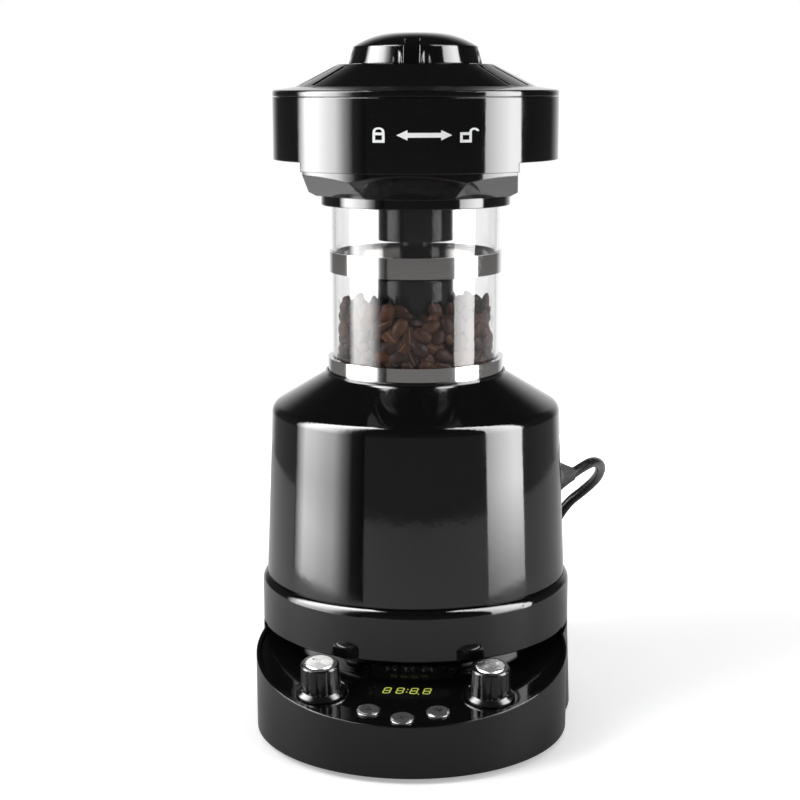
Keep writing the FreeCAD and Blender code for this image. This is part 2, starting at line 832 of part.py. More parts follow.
def make_air_path():
    """Blower housing, motor, impeller, heater duct and heater, all on the main axis."""
    low, top = blower_low, blower_top
    wall = d.duct_wall
    outer = d.blower_radius
    housing = new_body("blower_housing")
    revolve(housing, "blower_turn", [
        (outer - wall, low), (outer + 6, low), (outer + 6, low + wall * 2), (outer, low + wall * 2), (outer, top),
        (outer - wall, top)])
    motor_top = motor_low + d.motor_height
    collar_in = d.motor_radius + d.run_gap
    revolve(housing, "motor_collar", [
        (collar_in, motor_low + 6), (collar_in + wall, motor_low + 6), (collar_in + wall, motor_top - 2),
        (collar_in, motor_top - 2)])
    arms = [turned(block(collar_in + wall / 2, outer - wall / 2, as_size(-1), as_size(1)), 120 * n + 30) for n in range(3)]
    sketch = draw(housing, "arms_outline", "XY_Plane", arms, lift=motor_low + 8)
    pad(housing, "arms", sketch, d.motor_height / 2)
    keep(housing)
    motor = new_body("blower_motor")
    r = d.motor_radius
    bearing = d.motor_shaft_radius + d.run_gap
    revolve(motor, "motor_turn", [
        (bearing, motor_low), (6, motor_low), (6, motor_low + 2), (r, motor_low + 2), (r, motor_top),
        (7, motor_top), (7, motor_top + 3), (0, motor_top + 3), (0, motor_low + 12), (bearing, motor_low + 12)])
    keep(motor)
    shaft = new_body("motor_shaft")
    revolve(shaft, "motor_shaft_turn", [
        (0, low + 1), (d.motor_shaft_radius, low + 1), (d.motor_shaft_radius, motor_low + 11.5), (0, motor_low + 11.5)])
    keep(shaft)
    make_impeller()
    duct = new_body("heater_duct")
    throat = socket_radius - d.steel * 3
    bend = top + 20
    revolve(duct, "duct_turn", [
        (outer, top), (outer + 3, top), (outer + 3, top + wall), (outer, top + wall), (outer, top + 8),
        (throat, bend), (throat, socket_low), (throat - wall, socket_low), (throat - wall, bend),
        (outer - wall, top + 8), (outer - wall, top)])
    keep(duct)
    make_heater(bend, throat - wall)
    socket = new_body("socket_ring")
    revolve(socket, "socket_turn", [
        (socket_radius, mouth), (socket_radius + d.steel, mouth), (socket_radius + d.steel, socket_low),
        (socket_radius, socket_low)])
    keep(socket)
    seat = new_body("socket_seat")
    revolve(seat, "socket_seat_turn", [
        (throat - wall * 2, socket_low), (socket_radius, socket_low), (socket_radius, socket_low + d.steel),
        (throat - wall * 2, socket_low + d.steel)])
    keep(seat)
    thermostat = new_body("thermostat")
    revolve(thermostat, "thermostat_turn", [(0, 0), (8, 0), (8, 5), (5, 5), (5, 8), (0, 8)])
    thermostat.Placement.Rotation = FreeCAD.Rotation(FreeCAD.Vector(0, 1, 0), -90)
    bind(thermostat, "Placement.Base.x", -throat - 0.8)
    bind(thermostat, "Placement.Base.z", bend + 30)
    keep(thermostat)


def make_impeller():
    """A disc with a hub and swept blades that stand on it, each a crescent between two arcs."""
    body = new_body("impeller")
    low = blower_low + 1.5
    high = low + d.impeller_height
    tip = d.blower_radius - d.duct_wall - 2
    bore = d.motor_shaft_radius
    disc = 2
    revolve(body, "impeller_turn", [
        (bore, low), (d.hub_radius * 0.6, low), (d.hub_radius, high - 4), (tip * 0.8, high - disc), (tip * 0.8, high), (bore, high)])
    root_x, root_y = d.hub_radius - 1, as_size(0)
    end_x, end_y = turned([(tip, as_size(0))], -38)[0]
    sweep = tip * 0.75
    sketch = draw(body, "blade_outline", "XY_Plane", [[
        (root_x, root_y, sweep, False), (end_x, end_y), (end_x + d.blade_thick, end_y + d.blade_thick, sweep + d.blade_thick, True),
        (root_x, root_y + d.blade_thick * 1.4)]], lift=low)
    blade = pad(body, "blade", sketch, d.impeller_height - 1)
    repeat_round(body, "blades", blade, d.blade_count)
    keep(body)


def make_heater(low, bore):
    """Two crossed mica plates that stand in the duct, with a heating coil wound round them."""
    frame = new_body("heater_frame")
    half, thin = d.frame_half_width, d.frame_thick / 2
    height = socket_low - low - 6
    cross = [(-half, -thin), (-thin, -thin), (-thin, -half), (thin, -half), (thin, -thin), (half, -thin),
             (half, thin), (thin, thin), (thin, half), (-thin, half), (-thin, thin), (-half, thin)]
    sketch = draw(frame, "heater_frame_outline", "XY_Plane", [cross], lift=low + 3)
    pad(frame, "heater_frame_pad", sketch, height)
    reach = bore - 0.2
    ribs = [block(half - 2, reach, -thin, thin), block(-reach, 2 - half, -thin, thin)]
    for n, lift in enumerate((low + 3, low + height - 5)):
        sketch = draw(frame, "heater_rib_%d_outline" % n, "XY_Plane", ribs, lift=lift)
        pad(frame, "heater_rib_%d" % n, sketch, 8)
    keep(frame)
    coil = doc.addObject("Part::Feature", "heater_coil")
    turns = 4
    pitch = (float(height) - 24) / turns
    start = float(low) + 15
    knots = helix_knots(float(heater_radius), start, pitch, turns)
    coil.Shape = tube_along(biarc_edges(knots), float(d.heater_wire))
    keep(coil)


# Roasting chamber


def make_chamber():
    outer, inner = d.ring_radius, spigot_radius
    ring = new_body("chamber_ring")
    steel = d.steel
    seat = d.glass_radius + d.run_gap
    revolve(ring, "chamber_ring_turn", [
        (inner, ring_low), (outer, ring_low), (outer, ring_top), (seat, ring_top), (seat, glass_low),
        (inner - steel, glass_low), (inner - steel, spigot_low), (inner, spigot_low)])
    keep(ring)
    ledge = new_body("plate_seat")
    revolve(ledge, "plate_seat_turn", [
        (inner - steel * 3, spigot_low), (inner - steel, spigot_low), (inner - steel, spigot_low + steel),
        (inner - steel * 3, spigot_low + steel)])
    keep(ledge)
    glass = new_body("glass_tube")
    bottom, top, bore = glass_low, glass_top, glass_bore
    revolve(glass, "glass_turn", [(bore, bottom), (d.glass_radius, bottom), (d.glass_radius, top), (bore, top)])
    keep(glass)
    band = new_body("middle_band")
    inside = d.glass_radius + d.run_gap
    outside = d.glass_radius + d.mid_band_thick
    top = mid_band_low + d.mid_band_height
    revolve(band, "middle_band_turn", [(inside, mid_band_low), (outside, mid_band_low), (outside, top), (inside, top)])
    keep(band)
    make_air_plate()
    column = new_body("chamber_column")
    r = d.column_radius
    turn = revolve(column, "column_turn", [
        (0, plate_top), (r, plate_top), (r, column_top), (0, column_top)])
    column.Tip = round_rings(column, "column_round", turn, [(r, column_top)], 2)
    keep(column)
    post = new_body("chamber_post")
    r = d.post_radius
    revolve(post, "post_turn", [(0, column_top), (r, column_top), (r, post_top - 2), (r - 2, post_top), (0, post_top)])
    keep(post)


def make_air_plate():
    """The perforated floor: slanting slots in two rings send the air round the chamber."""
    body = new_body("air_plate")
    edge = spigot_radius - d.steel - 0.1
    low = spigot_low + d.steel
    revolve(body, "air_plate_turn", [(0, low), (edge, low), (edge, plate_top), (0, plate_top)])
    inside = d.column_radius + 2.5
    width = edge - d.steel * 2 - inside - 1
    slot = turned_about(block(inside, inside + width, as_size(-0.9), as_size(0.9)), inside, 28)
    sketch = draw(body, "air_slot_outline", "XY_Plane", [slot], lift=low - 1)
    cutter = pocket(body, "air_slot", sketch, d.steel * 4)
    repeat_round(body, "air_slots", cutter, d.air_slot_count)
    keep(body)


def turned_about(points, pivot_x, angle):
    """Points turned about a pivot on the X axis."""
    moved = turned([(x - pivot_x, y) for x, y in points], angle)
    return [(x + pivot_x, y) for x, y in moved]


# Chaff collector


def make_collector():
    cup = new_body("cup_collar")
    bore = d.glass_radius + d.side_gap + 0.1
    ledge = gasket_low + d.gasket_thick
    revolve(cup, "collar_turn", [
        (bore, collar_low), (d.collar_radius, collar_low), (d.collar_radius, collar_top), (d.collar_radius, drum_floor),
        (d.throat_radius, drum_floor), (d.throat_radius, ledge), (bore, ledge)])
    throat = cylinder("cup_throat", d.throat_radius, d.facet_height * 2, 0, 0, collar_low)
    seat = cylinder("cup_seat", bore, ledge - collar_low, 0, 0, collar_low)
    keep(cut("collector_cup", fuse("cup_solid", [cup, cup_flare()]), fuse("cup_bores", [throat, seat])))
    gasket = new_body("gasket")
    revolve(gasket, "gasket_turn", [
        (d.throat_radius + 0.4, gasket_low), (d.glass_radius + 0.3, gasket_low), (d.glass_radius + 0.3, ledge),
        (d.throat_radius + 0.4, ledge)])
    keep(gasket)
    make_drum()
    tube = new_body("collector_tube")
    r, wall = d.tube_radius, d.steel
    low = drum_floor - d.tube_drop
    revolve(tube, "tube_turn", [(r - wall, low), (r, low), (r, low + d.tube_height), (r - wall, low + d.tube_height)])
    arms = [turned(block(r - wall / 2, d.throat_radius - 0.1, as_size(-1), as_size(1)), 120 * n + 30) for n in range(3)]
    sketch = draw(tube, "tube_arms_outline", "XY_Plane", arms, lift=drum_floor - 10)
    pad(tube, "tube_arms", sketch, 8)
    keep(tube)


def cup_flare():
    """Eight facets that slope out from the collar, inside the drum's skirts and flat at the two sides."""
    body = new_body("cup_facets")
    a, f = d.facet_reach, d.facet_half
    octagon = [(a, -f), (a, f), (f, a), (-f, a), (-a, f), (-a, -f), (-f, -a), (f, -a)]
    sketch = draw(body, "facets_outline", "XY_Plane", [octagon], lift=collar_top)
    facets = pad(body, "facets", sketch, d.facet_height)
    bind(facets, "TaperAngle", d.facet_flare)
    reach = d.drum_radius - d.drum_wall - d.side_gap
    within = cylinder("cup_within", reach, d.facet_height, 0, 0, collar_top)
    sides = doc.addObject("Part::Box", "cup_sides")
    bind(sides, "Length", d.cup_half_width * 2)
    bind(sides, "Width", reach * 2)
    bind(sides, "Height", d.facet_height)
    bind(sides, "Placement.Base.x", -d.cup_half_width)
    bind(sides, "Placement.Base.y", -reach)
    bind(sides, "Placement.Base.z", collar_top)
    return common("cup_flare", body, common("cup_limits", within, sides))


def make_drum():
    drum = new_body("collector_drum")
    r, wall = d.drum_radius, d.drum_wall
    skirt_low = drum_floor - d.drum_skirt
    revolve(drum, "drum_turn", [
        (d.throat_radius, drum_floor), (r - wall, drum_floor), (r - wall, skirt_low), (r, skirt_low), (r, drum_top),
        (r - wall, drum_top), (r - wall, drum_floor + wall), (d.throat_radius, drum_floor + wall)])
    # The wall's lower edge is cut away at the sides
    far = d.drum_radius * 1.7
    half = 90 - d.skirt_half_angle
    side = [(0, 0), (far * cosine(half), -(far * sine(half))), (far * cosine(half), far * sine(half))]
    other = [(0, 0), (-(far * cosine(half)), far * sine(half)), (-(far * cosine(half)), -(far * sine(half)))]
    for n, wedge in enumerate((side, other)):
        sketch = draw(drum, "side_%d_outline" % n, "XY_Plane", [wedge], lift=skirt_low)
        pocket(drum, "side_%d" % n, sketch, d.drum_skirt)
    # Four catches under the rim that the cover's lugs turn under
    inside = d.cover_skirt_radius + 0.7
    catches = [turned(block(inside, r - wall / 2, -d.lug_half, d.lug_half), d.lock_turn + 45 + 90 * n) for n in range(4)]
    sketch = draw(drum, "catches_outline", "XY_Plane", catches, lift=catch_low())
    pad(drum, "catches", sketch, 2.5)
    keep(drum)


def catch_low():
    return lip_low - d.cover_skirt + d.lug_height + d.rest_gap


def make_filter():
    """A slotted screen under the cover that keeps the chaff in the drum."""
    body = new_body("filter_screen")
    r = d.cover_skirt_radius - 1.5
    top = lip_low - d.cover_skirt - d.rest_gap
    revolve(body, "filter_turn", [
        (0, top - 2), (r - 6, top - 2), (r - 6, top - 4), (r, top - 4), (r, top), (0, top)])
    slots = [turned(block(as_size(12), r - 10, as_size(-2), as_size(2)), 20 * n) for n in range(18)]
    sketch = draw(body, "filter_slots_outline", "XY_Plane", slots, lift=top - 6)
    pocket(body, "filter_slots", sketch, 8)
    keep(body)


def make_cover():
    body = new_body("top_cover")
    w = d.cover_wall
    skirt = d.cover_skirt_radius
    r = d.drum_radius
    revolve(body, "cover_turn", [
        (0, vent_top), (d.vent_top_radius, vent_top), (d.vent_base_radius, vent_low), (r - 0.7, lip_top),
        (r, lip_top - 0.7), (r, lip_low), (skirt, lip_low), (skirt, lip_low - d.cover_skirt),
        (skirt - 2, lip_low - d.cover_skirt), (skirt - 2, lip_top - w * 0.7), (d.vent_base_radius - 0.5, vent_low - w),
        (d.vent_top_radius - 0.7, vent_top - w), (0, vent_top - w)])
    lugs = [turned(block(skirt - 1, r - d.drum_wall - d.rest_gap, -d.lug_half, d.lug_half), 45 + 90 * n) for n in range(4)]
    sketch = draw(body, "lugs_outline", "XY_Plane", lugs, lift=lip_low - d.cover_skirt)
    pad(body, "lugs", sketch, d.lug_height)
    half = d.vent_slot / 2
    inner, outer = d.vent_top_radius + 1.5, d.vent_base_radius - 1.5
    turns = [side + 18 * step for side in (0, 180) for step in (-2, -1, 0, 1, 2)]
    vents = [turned(block(inner, outer, -half, half), turn) for turn in turns]
    sketch = draw(body, "vents_outline", "XY_Plane", vents, lift=lip_low)
    pocket(body, "vents", sketch, vent_top - lip_low + 2)
    keep(body)


def make_top_knob():
    """A low domed knob. Each of its four finger slots has an upright flute at either side."""
    blank = new_body("knob_blank")
    r = d.top_knob_radius
    revolve(blank, "knob_turn", [
        (0, vent_top), (r - 7, vent_top), (r - 7, knob_low), (r, knob_low),
        (r - d.top_knob_draft, knob_brow, d.dome_radius, True), (d.top_disc_radius, knob_top), (0, knob_top)])
    slots = new_body("finger_slots")
    half = d.finger_slot / 2
    outlines = [turned(block(r - d.finger_slot_depth, r + 4, -half, half), 90 * n) for n in range(4)]
    spots = []
    for n in range(4):
        for side in (-1, 1):
            place = turned([(r + 0.6, as_size(0))], d.finger_flute_pitch * side + 90 * n)[0]
            spots.append((place[0], place[1], d.finger_flute))
    sketch = draw(slots, "finger_slots_outline", "XY_Plane", outlines, spots, lift=knob_low - 1)
    pad(slots, "finger_slots_pad", sketch, d.top_knob_wall + d.top_knob_dome)
    keep(cut("top_knob", blank, slots))


# Cord: a boot on the housing, a free stretch, a coil on the floor, a tail and a plug

CORD_ROUTE = [
    (91.6, 57.2, 124.0), (104.3, 65.1, 124.0), (111.2, 78.7, 124.0), (110.2, 97.5, 118.0), (99.0, 117.0, 101.0),
    (82.0, 128.0, 74.0), (62.0, 122.0, 40.0), (44.0, 111.0, 15.5), (24.0, 105.0, 3.4), (0.0, 105.0, 3.4),
]
COIL_CENTRE = (0.0, 145.0)
COIL_RADIUS = 40.0
COIL_TURNS_IN = 1.25
COIL_STEP = 7.0
FLOOR_HEIGHT = 3.4
LAYER_RISE = 6.9
TAIL_LENGTH = 32.0


def tangent_arcs(points):
    """A wire of straight runs joined by tangent arcs, and the arcs' radii."""
    spots = [FreeCAD.Vector(*p) for p in points]
    edges, radii = [], []
    here = spots[0]
    for before, spot, after in zip(spots, spots[1:], spots[2:]):
        back = (before - spot).normalize()
        ahead = (after - spot).normalize()
        turn = math.pi - back.getAngle(ahead)
        shorter = min((before - spot).Length, (after - spot).Length)
        reach = 0.45 * shorter
        radius = reach / math.tan(turn / 2)
        radii.append(radius)
        first = spot + back * reach
        last = spot + ahead * reach
        inward = (back + ahead).normalize()
        middle = spot + inward * (radius / math.cos(turn / 2) - radius)
        edges.append(Part.LineSegment(here, first).toShape())
        edges.append(Part.Arc(first, middle, last).toShape())
        here = last
    edges.append(Part.LineSegment(here, spots[-1]).toShape())
    return edges, radii


def arc_edge(start, heading, end):
    """The arc that leaves start along heading and reaches end."""
    chord = end - start
    along = FreeCAD.Vector(chord).normalize()
    aside = heading - along * heading.dot(along)
    if aside.Length < 1e-6:
        return Part.LineSegment(start, end).toShape()
    turn = heading.getAngle(along)
    middle = start + chord * 0.5 + aside.normalize() * (chord.Length / 2 * math.tan(turn / 2))
    return Part.Arc(start, middle, end).toShape()


def biarc_edges(knots):
    """Two arcs from each knot to the next; a knot is (place, heading)."""
    edges = []
    for (start, leave), (end, arrive) in zip(knots, knots[1:]):
        across = end - start
        both = leave + arrive
        bend = 2 * (1 - leave.dot(arrive))
        if bend < 1e-9:
            reach = across.Length / 4
        else:
            slope = across.dot(both)
            reach = (-slope + math.sqrt(slope ** 2 + bend * across.dot(across))) / bend
        joint = (start + leave * reach + end - arrive * reach) * 0.5
        edges.append(arc_edge(start, leave, joint))
        middle_heading = (end - arrive * reach - start - leave * reach).normalize()
        edges.append(arc_edge(joint, middle_heading, end))
    return edges


def tube_along(edges, radius):
    """A round tube along joined edges."""
    wire = Part.Wire(edges)
    start = wire.Edges[0]
    place = start.valueAt(start.FirstParameter)
    heading = start.tangentAt(start.FirstParameter)
    section = Part.Wire([Part.Circle(place, heading, radius).toShape()])
    return wire.makePipeShell([section], True, False)


def helix_knots(radius, low, pitch, turns):
    knots = []
    rise = pitch / (2 * math.pi * radius)
    for quarter in range(turns * 4 + 1):
        angle = quarter * math.pi / 2
        place = FreeCAD.Vector(radius * math.cos(angle), radius * math.sin(angle), low + pitch * quarter / 4)
        heading = FreeCAD.Vector(-math.sin(angle), math.cos(angle), rise).normalize()
        knots.append((place, heading))
    return knots


def coil_point(turn):
    """The coil's centre line after a number of turns: in on the floor, up a layer, and out again."""
    layer_up = 0.5
    inner = COIL_RADIUS - COIL_STEP * COIL_TURNS_IN
    if turn <= COIL_TURNS_IN:
        radius, rise = COIL_RADIUS - COIL_STEP * turn, 0.0
    elif turn <= COIL_TURNS_IN + layer_up:
        share = (turn - COIL_TURNS_IN) / layer_up
        radius = inner - COIL_STEP * layer_up * 0.25 * math.sin(math.pi * share)
        rise = LAYER_RISE * (1 - math.cos(math.pi * share)) / 2
    else:
        radius, rise = inner + COIL_STEP * (turn - COIL_TURNS_IN - layer_up), LAYER_RISE
    angle = math.radians(-90) - turn * 2 * math.pi
    x = COIL_CENTRE[0] + radius * math.cos(angle)
    y = COIL_CENTRE[1] + radius * math.sin(angle)
    return FreeCAD.Vector(x, y, FLOOR_HEIGHT + rise)


COIL_TURNS = COIL_TURNS_IN * 2 + 0.5


def coil_knots():
    """Knots of the coil a quarter of a turn apart, the climb in eighths."""
    knots = []
    small = 1e-4
    steps = int(round(COIL_TURNS * 8))
    for step in range(steps + 1):
        turn = step / 8
        place = coil_point(turn)
        ahead = coil_point(min(turn + small, COIL_TURNS))
        behind = coil_point(max(turn - small, 0))
        knots.append((place, (ahead - behind).normalize()))
    knots[0] = (knots[0][0], FreeCAD.Vector(-1, 0, 0))
    return knots


def least_self_gap(radius):
    """The least gap between turns of the coil, measured on points of its centre line."""
    count = 240
    spots = [coil_point(COIL_TURNS * n / count) for n in range(count + 1)]
    near = []
    for i, spot in enumerate(spots):
        for other in spots[i + 30:]:
            near.append((spot - other).Length)
    return min(near) - 2 * radius


def make_cord():
    radius = float(d.cord_radius)
    boot = new_body("strain_relief")
    r = d.boot_radius
    inside = seam_radius - d.housing_wall * 2 - 3
    reach = seam_radius + d.boot_length - 1.6
    revolve(boot, "boot_turn", [
        (d.cord_radius + 0.1, inside), (r - 3.2, inside), (r - 3.2, seam_radius - 0.6), (r, seam_radius - 0.6),
        (r, seam_radius + 6), (r - 1, seam_radius + 10), (r - 3.5, seam_radius + 15), (r - 5.6, reach - 3),
        (d.cord_radius + 1, reach), (0, reach), (0, reach - 4), (d.cord_radius + 0.1, reach - 4)])
    aim_outwards(boot, as_size(0))
    keep(boot)
    turn = math.radians(float(d.boot_turn))
    away = float(reach)
    exit_point = (away * math.cos(turn), away * math.sin(turn), float(d.boot_height))
    straight = math.dist(CORD_ROUTE[0], CORD_ROUTE[1])
    after = (exit_point[0] + straight * math.cos(turn), exit_point[1] + straight * math.sin(turn), exit_point[2])
    route = [exit_point, after] + CORD_ROUTE[2:]
    edges, radii = tangent_arcs(route)
    print("cord arc radii", [round(r, 1) for r in radii])
    cord = doc.addObject("Part::Feature", "cord")
    cord.Shape = tube_along(edges, radius)
    length = sum(edge.Length for edge in edges)
    print("cord length", round(length, 1), "volume", round(cord.Shape.Volume / (math.pi * radius ** 2 * length), 5))
    keep(cord)
    coil = doc.addObject("Part::Feature", "cord_coil")
    knots = coil_knots()
    coil_edges = biarc_edges(knots)
    coil.Shape = tube_along(coil_edges, radius)
    coil_length = sum(edge.Length for edge in coil_edges)
    print("coil length", round(coil_length, 1), "volume", round(coil.Shape.Volume / (math.pi * radius ** 2 * coil_length), 5))
    print("coil least self gap", round(least_self_gap(radius), 2))
    keep(coil)
    place, heading = knots[-1]
    level = FreeCAD.Vector(heading.x, heading.y, 0).normalize()
    tail_end = place + level * TAIL_LENGTH
    tail = doc.addObject("Part::Feature", "cord_tail")
    tail.Shape = tube_along([Part.LineSegment(place, tail_end).toShape()], radius)
    keep(tail)
    make_plug(tail_end, level)
    print("cord in all", round(length + coil_length + TAIL_LENGTH, 1))


def make_plug(spot, heading):
    """A moulded three-pin plug that lies at the end of the tail."""
    plug = new_body("plug")
    revolve(plug, "plug_turn", [
        (0, 0), (d.cord_radius + 1, 0), (d.cord_radius + 2, 10), (9, 14), (9.8, 18), (9.8, 34), (0, 34)])
    blades = [block(as_size(5.6), as_size(7.1), as_size(-3.2), as_size(3.2)),
              block(as_size(-7.1), as_size(-5.6), as_size(-3.2), as_size(3.2))]
    sketch = draw(plug, "blades_outline", "XY_Plane", blades, lift=as_size(33))
    pad(plug, "blades_pad", sketch, as_size(18))
    pin = draw(plug, "pin_outline", "XY_Plane", circles=[(0, as_size(5.6), as_size(2.4))], lift=as_size(33))
    pad(plug, "pin_pad", pin, as_size(20))
    turn = FreeCAD.Rotation(FreeCAD.Vector(0, 0, 1), heading)
    plug.Placement = FreeCAD.Placement(spot, turn)
    keep(plug)


make_base_shell()
make_base_cover()
make_feet()
make_control_panel()
make_display()
make_control_board()
make_knobs()
make_buttons()
make_housing()
make_air_path()
make_chamber()
make_collector()
make_filter()
make_cover()
make_top_knob()
make_cord()
doc.recompute()


def check_all():
    """Every object computed and every sub-part one valid solid."""
    for item in doc.Objects:
        if "Invalid" in item.State or "Error" in item.State:
            raise RuntimeError("%s is %s" % (item.Label, item.State))
    for item in PARTS:
        shape = item.Shape
        if shape.isNull() or not shape.isValid():
            raise RuntimeError("%s has no valid shape" % item.Label)
        if len(shape.Solids) != 1:
            raise RuntimeError("%s has %d solids" % (item.Label, len(shape.Solids)))


check_all()
for item in PARTS:
    item.Shape.exportStep("parts/%s.step" % item.Label)
print(len(PARTS), "sub-parts")
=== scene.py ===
# %% [markdown]
# # A countertop hot-air coffee roaster
# The real machine is a stack: a round base with a sloping console, a conical black housing with the blower and the
# heater inside, a glass chamber with the beans, and a chaff collector with a twist-lock cover on top. The solids come
# from the part's CAD source. This file gives them their finishes, and adds what a solid can't carry: the beans, the
# printed marks, the lit digits and the cord's soft line.
# The first cell loads the solids and moves each one's place into its own mesh.

# %% Load the frame
import math
import random

import bmesh
import bpy
from mathutils import Matrix, Vector


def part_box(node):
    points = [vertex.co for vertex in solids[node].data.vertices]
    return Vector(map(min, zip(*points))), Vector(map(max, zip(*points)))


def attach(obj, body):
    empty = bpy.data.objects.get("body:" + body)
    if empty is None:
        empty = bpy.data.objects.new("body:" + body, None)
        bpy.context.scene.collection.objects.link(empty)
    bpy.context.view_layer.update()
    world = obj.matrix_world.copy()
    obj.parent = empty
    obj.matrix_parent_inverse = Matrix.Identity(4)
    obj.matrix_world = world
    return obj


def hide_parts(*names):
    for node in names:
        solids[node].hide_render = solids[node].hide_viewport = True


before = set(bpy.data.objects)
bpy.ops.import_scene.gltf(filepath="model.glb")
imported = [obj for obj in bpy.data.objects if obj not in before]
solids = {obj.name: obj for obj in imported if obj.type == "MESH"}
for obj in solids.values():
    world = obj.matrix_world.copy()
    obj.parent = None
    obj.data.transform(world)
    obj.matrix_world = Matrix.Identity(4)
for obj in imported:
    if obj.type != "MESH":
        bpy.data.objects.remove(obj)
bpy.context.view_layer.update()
AXIS_Y = 0.01775
AXIS = Vector((0, AXIS_Y, 0))
random.seed(7)

# %% [markdown]
# ## Camera
# The photograph was taken from just under a metre away and a little above, with the machine turned three and a half
# degrees. A long lens on a tipped camera gives the same frame with no shift, and the other views can use it too.

# %% Camera
TURN, TIP, ROLL = math.radians(3.5), math.radians(10.6), math.radians(0.528)
CAMERA_REACH, CAMERA_HEIGHT = 0.95, 0.357
camera_data = bpy.data.cameras.new("photo_camera")
camera_data.lens = 76.14
camera_data.sensor_width = 36.0
camera = bpy.data.objects.new("photo_camera", camera_data)
bpy.context.scene.collection.objects.link(camera)
camera.matrix_world = (
    Matrix.Translation((CAMERA_REACH * math.sin(TURN), AXIS_Y - CAMERA_REACH * math.cos(TURN), CAMERA_HEIGHT))
    @ Matrix.Rotation(TURN, 4, "Z")
    @ Matrix.Rotation(math.radians(90) - TIP, 4, "X")
    @ Matrix.Rotation(ROLL, 4, "Y")
)
bpy.context.scene.camera = camera
print("camera at", [round(v, 3) for v in camera.matrix_world.translation])

# %% [markdown]
# ## Helpers for finishes
# Every finish starts from the Principled shader. Patterns read Object coordinates, so they stay on a piece when it
# moves, and a stretched noise gives brushed or moulded marks without any picture.


# %% Helpers for finishes
class Finish:
    """A material with short ways to add noise, ramps and bumps."""

    def __init__(self, name, colour, roughness, **sockets):
        self.material = bpy.data.materials.new(name)
        self.material.use_nodes = True
        self.tree = self.material.node_tree
        self.shader = self.tree.nodes["Principled BSDF"]
        self.shader.inputs["Base Color"].default_value = (*colour, 1)
        self.shader.inputs["Roughness"].default_value = roughness
        for socket, value in sockets.items():
            self.shader.inputs[socket.replace("_", " ")].default_value = value

    def node(self, kind, **values):
        made = self.tree.nodes.new(kind)
        for name, value in values.items():
            made.inputs[name.replace("_", " ")].default_value = value
        return made

    def link(self, start, end):
        self.tree.links.new(start, end)

    def noise(self, scale, detail=3.0, stretch=(1, 1, 1)):
        coordinates = self.tree.nodes.new("ShaderNodeTexCoord")
        mapping = self.node("ShaderNodeMapping", Scale=stretch)
        self.link(coordinates.outputs["Object"], mapping.inputs["Vector"])
        noise = self.node("ShaderNodeTexNoise", Scale=scale, Detail=detail)
        self.link(mapping.outputs["Vector"], noise.inputs["Vector"])
        return noise.outputs["Fac"]

    def ramp(self, value, stops):
        """A colour ramp; stops is a list of (place, colour or grey)."""
        ramp = self.tree.nodes.new("ShaderNodeValToRGB")
        elements = ramp.color_ramp.elements
        while len(elements) < len(stops):
            elements.new(0.5)
        for element, (place, colour) in zip(elements, stops):
            element.position = place
            element.color = (*colour, 1) if hasattr(colour, "__len__") else (colour, colour, colour, 1)
        self.link(value, ramp.inputs["Fac"])
        return ramp.outputs["Color"]

    def spread(self, value, low, high, from_low=0.3, from_high=0.7):
        """Map a noise to a range."""
        node = self.node("ShaderNodeMapRange")
        for name, number in (("From Min", from_low), ("From Max", from_high), ("To Min", low), ("To Max", high)):
            node.inputs[name].default_value = number
        self.link(value, node.inputs["Value"])
        return node.outputs["Result"]

    def rough(self, value):
        self.link(value, self.shader.inputs["Roughness"])

    def colour(self, value):
        self.link(value, self.shader.inputs["Base Color"])

    def bump(self, value, depth, strength=1.0, edge=0.0):
        """Depth and the radius of the softened edges, in metres."""
        bump = self.node("ShaderNodeBump", Strength=strength, Distance=depth)
        if edge:
            soft = self.node("ShaderNodeBevel", Radius=edge)
            self.link(soft.outputs["Normal"], bump.inputs["Normal"])
        self.link(value, bump.inputs["Height"])
        self.link(bump.outputs["Normal"], self.shader.inputs["Normal"])


def dress(finish, *names):
    """Give CAD solids a finish."""
    for name in names:
        for slot in solids[name].material_slots:
            slot.material = finish.material
    print(finish.material.name, "on", len(names), "solids")


# %% [markdown]
# ## Black gloss plastic
# The housing, the base, the drum and the cover are injection moulded and polished. Such plastic isn't a perfect
# mirror: it has a faint orange peel, and handling leaves patches that are a little less sharp, with a few specks of
# dust. All three come from noises of different sizes. A Bevel node rounds the edges where they are lit, by a
# millimetre, so that each rim catches a thin line of light as a moulded one does.

# %% Black gloss plastic
DEEP_BLACK, DUST = (0.0025, 0.0023, 0.0026), (0.05, 0.05, 0.052)
gloss = Finish("black_gloss_plastic", DEEP_BLACK, 0.06, IOR=1.5)
gloss.rough(gloss.spread(gloss.noise(38, 5), 0.04, 0.1))
gloss.bump(gloss.noise(170, 2), 0.00005, 0.3, 0.001)
gloss.colour(gloss.ramp(gloss.noise(2600, 1), [(0.0, DEEP_BLACK), (0.74, DEEP_BLACK), (0.78, DUST)]))
dress(gloss, "base_shell", "housing_shell", "mouth_ring", "collector_drum", "top_cover", "top_knob", "collector_cup",
      "control_panel")

# %% [markdown]
# ## Dial plastic and lacquer
# The finger dials are a shade duller than the housing. The tube and the column inside the glass are metal with a
# baked black lacquer. A fine grain in the bump breaks up the light on both.

# %% Dial plastic and lacquer
dial_plastic = Finish("black_dial_plastic", (0.005, 0.005, 0.005), 0.16, IOR=1.5)
dial_plastic.rough(dial_plastic.spread(dial_plastic.noise(300, 4), 0.11, 0.22))
dial_plastic.bump(dial_plastic.noise(1800, 3), 0.00003, 0.4, 0.0006)
dress(dial_plastic, "fan_knob", "heat_knob")

